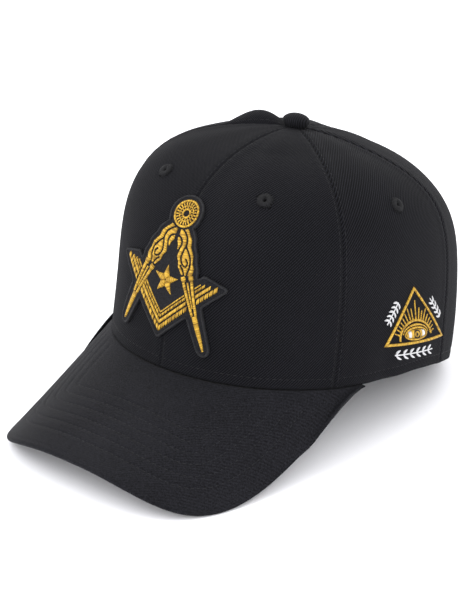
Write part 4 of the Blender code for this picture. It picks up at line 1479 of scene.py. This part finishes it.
def almond(side, fill, lift):
    """Satin between the lids on one side of the eye."""
    share = np.linspace(fill.inner, fill.outer, 12)
    arch = EYE_OPENING * np.sqrt(1 - (share / EYE_CORNER) ** 2)
    flat = eye_middle() + np.stack([side * share * EYE_WIDTH / 2, 0 * share], axis=-1)
    upper = np.stack([0 * arch, (1 - EYE_LEVEL) * fill.top * arch], axis=-1)
    lower = np.stack([0 * arch, EYE_LEVEL * fill.low * arch], axis=-1)
    return satin(flat + upper, flat - lower, lift)


def make_eye(lift):
    """Eye: brow, lids, gold fill, white corners and a plain round iris with a dark pupil."""
    gold = []
    for line in EYE_LINES:
        radii = (EYE_WIDTH / 2 * line.reach, EYE_OPENING * line.rise)
        gold.append(stroke(ellipse(eye_middle(), radii, line.start, line.end), line.widths, lift))
    gold += [almond(side, fill, lift) for side in (-1, 1) for fill in GOLD_FILLS]
    white = [almond(side, fill, lift) for side in (-1, 1) for fill in WHITE_FILLS]
    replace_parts(embroider("eye_thread", gold, on_side, GOLD_THREAD), "eye")
    embroider("eye_white_thread", white, on_side, WHITE_THREAD)
    centre = eye_middle() + (0.0, EYE_OPENING * 0.05)
    black = []
    for radii, width in (((IRIS_REACH, IRIS_REACH * 0.86), IRIS_WIDTH),
                         ((PUPIL_REACH, PUPIL_REACH), PUPIL_WIDTH)):
        black.append(stroke(ellipse(centre, radii), (width, width), lift + IRIS_LIFT))
    embroider("iris_thread", black, on_side, BLACK_THREAD)


def sprig_threads(start, end, leaves, lift):
    """Stem with a pair of pointed leaves at each step."""
    start, end = np.asarray(start), np.asarray(end)
    step = (end - start) / leaves
    over = unit(left_of(step)) * SPRIG_WIDTH
    threads = [stroke([start, end], STEM_WIDTHS, lift)]
    for leaf in range(leaves):
        foot = start + step * (leaf + LEAF_FOOT)
        for side in (-1, 1):
            bend = foot + step * LEAF_BEND + over * side * LEAF_BEND_REACH
            tip = foot + step * LEAF_TIP + over * side / 2
            threads.append(stroke(smooth_path([foot, bend, tip], 6), LEAF_WIDTHS, lift))
    return threads


# Sprigs: the corners of the triangle that each lies between (0 in front, 1 behind, 2 on top), where
# it starts and ends as shares of the way, and its pairs of leaves
Sprig = namedtuple("Sprig", "node corners start end leaves")
SPRIGS = (
    Sprig("sprig_front", (2, 0), 0.36, 0.72, 5),
    Sprig("sprig_back", (1, 2), 0.28, 0.64, 4),
    Sprig("sprig_base", (0, 1), 0.13, 0.74, 6),
)


def make_eye_emblem():
    """Triangle, sun and eye in gold, with white sprigs along the triangle's sides."""
    lift = -SUNK
    triangle = embroider("triangle_thread", triangle_threads(lift), on_side, GOLD_THREAD)
    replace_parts(triangle, "triangle_frame")
    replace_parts(embroider("sunburst_thread", sun_threads(lift), on_side, GOLD_THREAD), "sunburst")
    make_eye(lift)
    for sprig in SPRIGS:
        first, last = triangle_corners()[list(sprig.corners)]
        along = last - first
        foot = first - unit(left_of(along)) * (SPRIG_SPACE + SPRIG_WIDTH / 2)
        ends = foot + along * sprig.start, foot + along * sprig.end
        threads = sprig_threads(*ends, sprig.leaves, lift)
        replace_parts(embroider(sprig.node + "_thread", threads, on_side, WHITE_THREAD), sprig.node)


# Stage

def make_floor():
    bpy.ops.mesh.primitive_plane_add(size=FLOOR_SIZE)
    floor = bpy.context.object
    floor.name = "floor"
    floor.data.materials.append(table_top("white_surface").material)


def area_light(lamp):
    data = bpy.data.lights.new(lamp.name, "AREA")
    data.shape = "DISK"
    data.size = LAMP_SIZE
    data.energy = lamp.power
    light = bpy.data.objects.new(lamp.name, data)
    light.location = lamp.place
    way = Vector(LAMP_TARGET) - Vector(lamp.place)
    light.rotation_euler = way.to_track_quat("-Z", "Y").to_euler()
    bpy.context.scene.collection.objects.link(light)


def make_lights():
    """Even white room, with the colours shown as they are, as in a catalogue photograph."""
    bpy.context.scene.view_settings.view_transform = "Standard"
    world = bpy.data.worlds.new("white_room")
    world.use_nodes = True
    background = world.node_tree.nodes["Background"]
    background.inputs["Color"].default_value = (1, 1, 1, 1)
    background.inputs["Strength"].default_value = ROOM_LIGHT
    bpy.context.scene.world = world
    for lamp in LAMPS:
        area_light(lamp)


def make_camera():
    data = bpy.data.cameras.new("camera")
    data.sensor_width = SENSOR
    data.lens = FOCAL_PIXELS * SENSOR / PHOTO_LONG_SIDE
    data.shift_x = -SIDEWAYS_PIXELS / PHOTO_LONG_SIDE
    data.shift_y = DOWNWARD_PIXELS / PHOTO_LONG_SIDE
    data.clip_start, data.clip_end = 0.05, 30
    camera = bpy.data.objects.new("camera", data)
    level = cos(CAMERA_HEIGHT)
    back = Vector((sin(CAMERA_AZIMUTH) * level, -cos(CAMERA_AZIMUTH) * level, sin(CAMERA_HEIGHT)))
    camera.location = CAMERA_TARGET + back * CAMERA_DISTANCE
    camera.rotation_euler = (-back).to_track_quat("-Z", "Y").to_euler()
    bpy.context.scene.collection.objects.link(camera)
    bpy.context.scene.camera = camera


make_panels()
make_seam_stitches()
make_bill()
make_bill_allowance()
make_button()
make_patch()
make_eye_emblem()
make_floor()
make_lights()
make_camera()
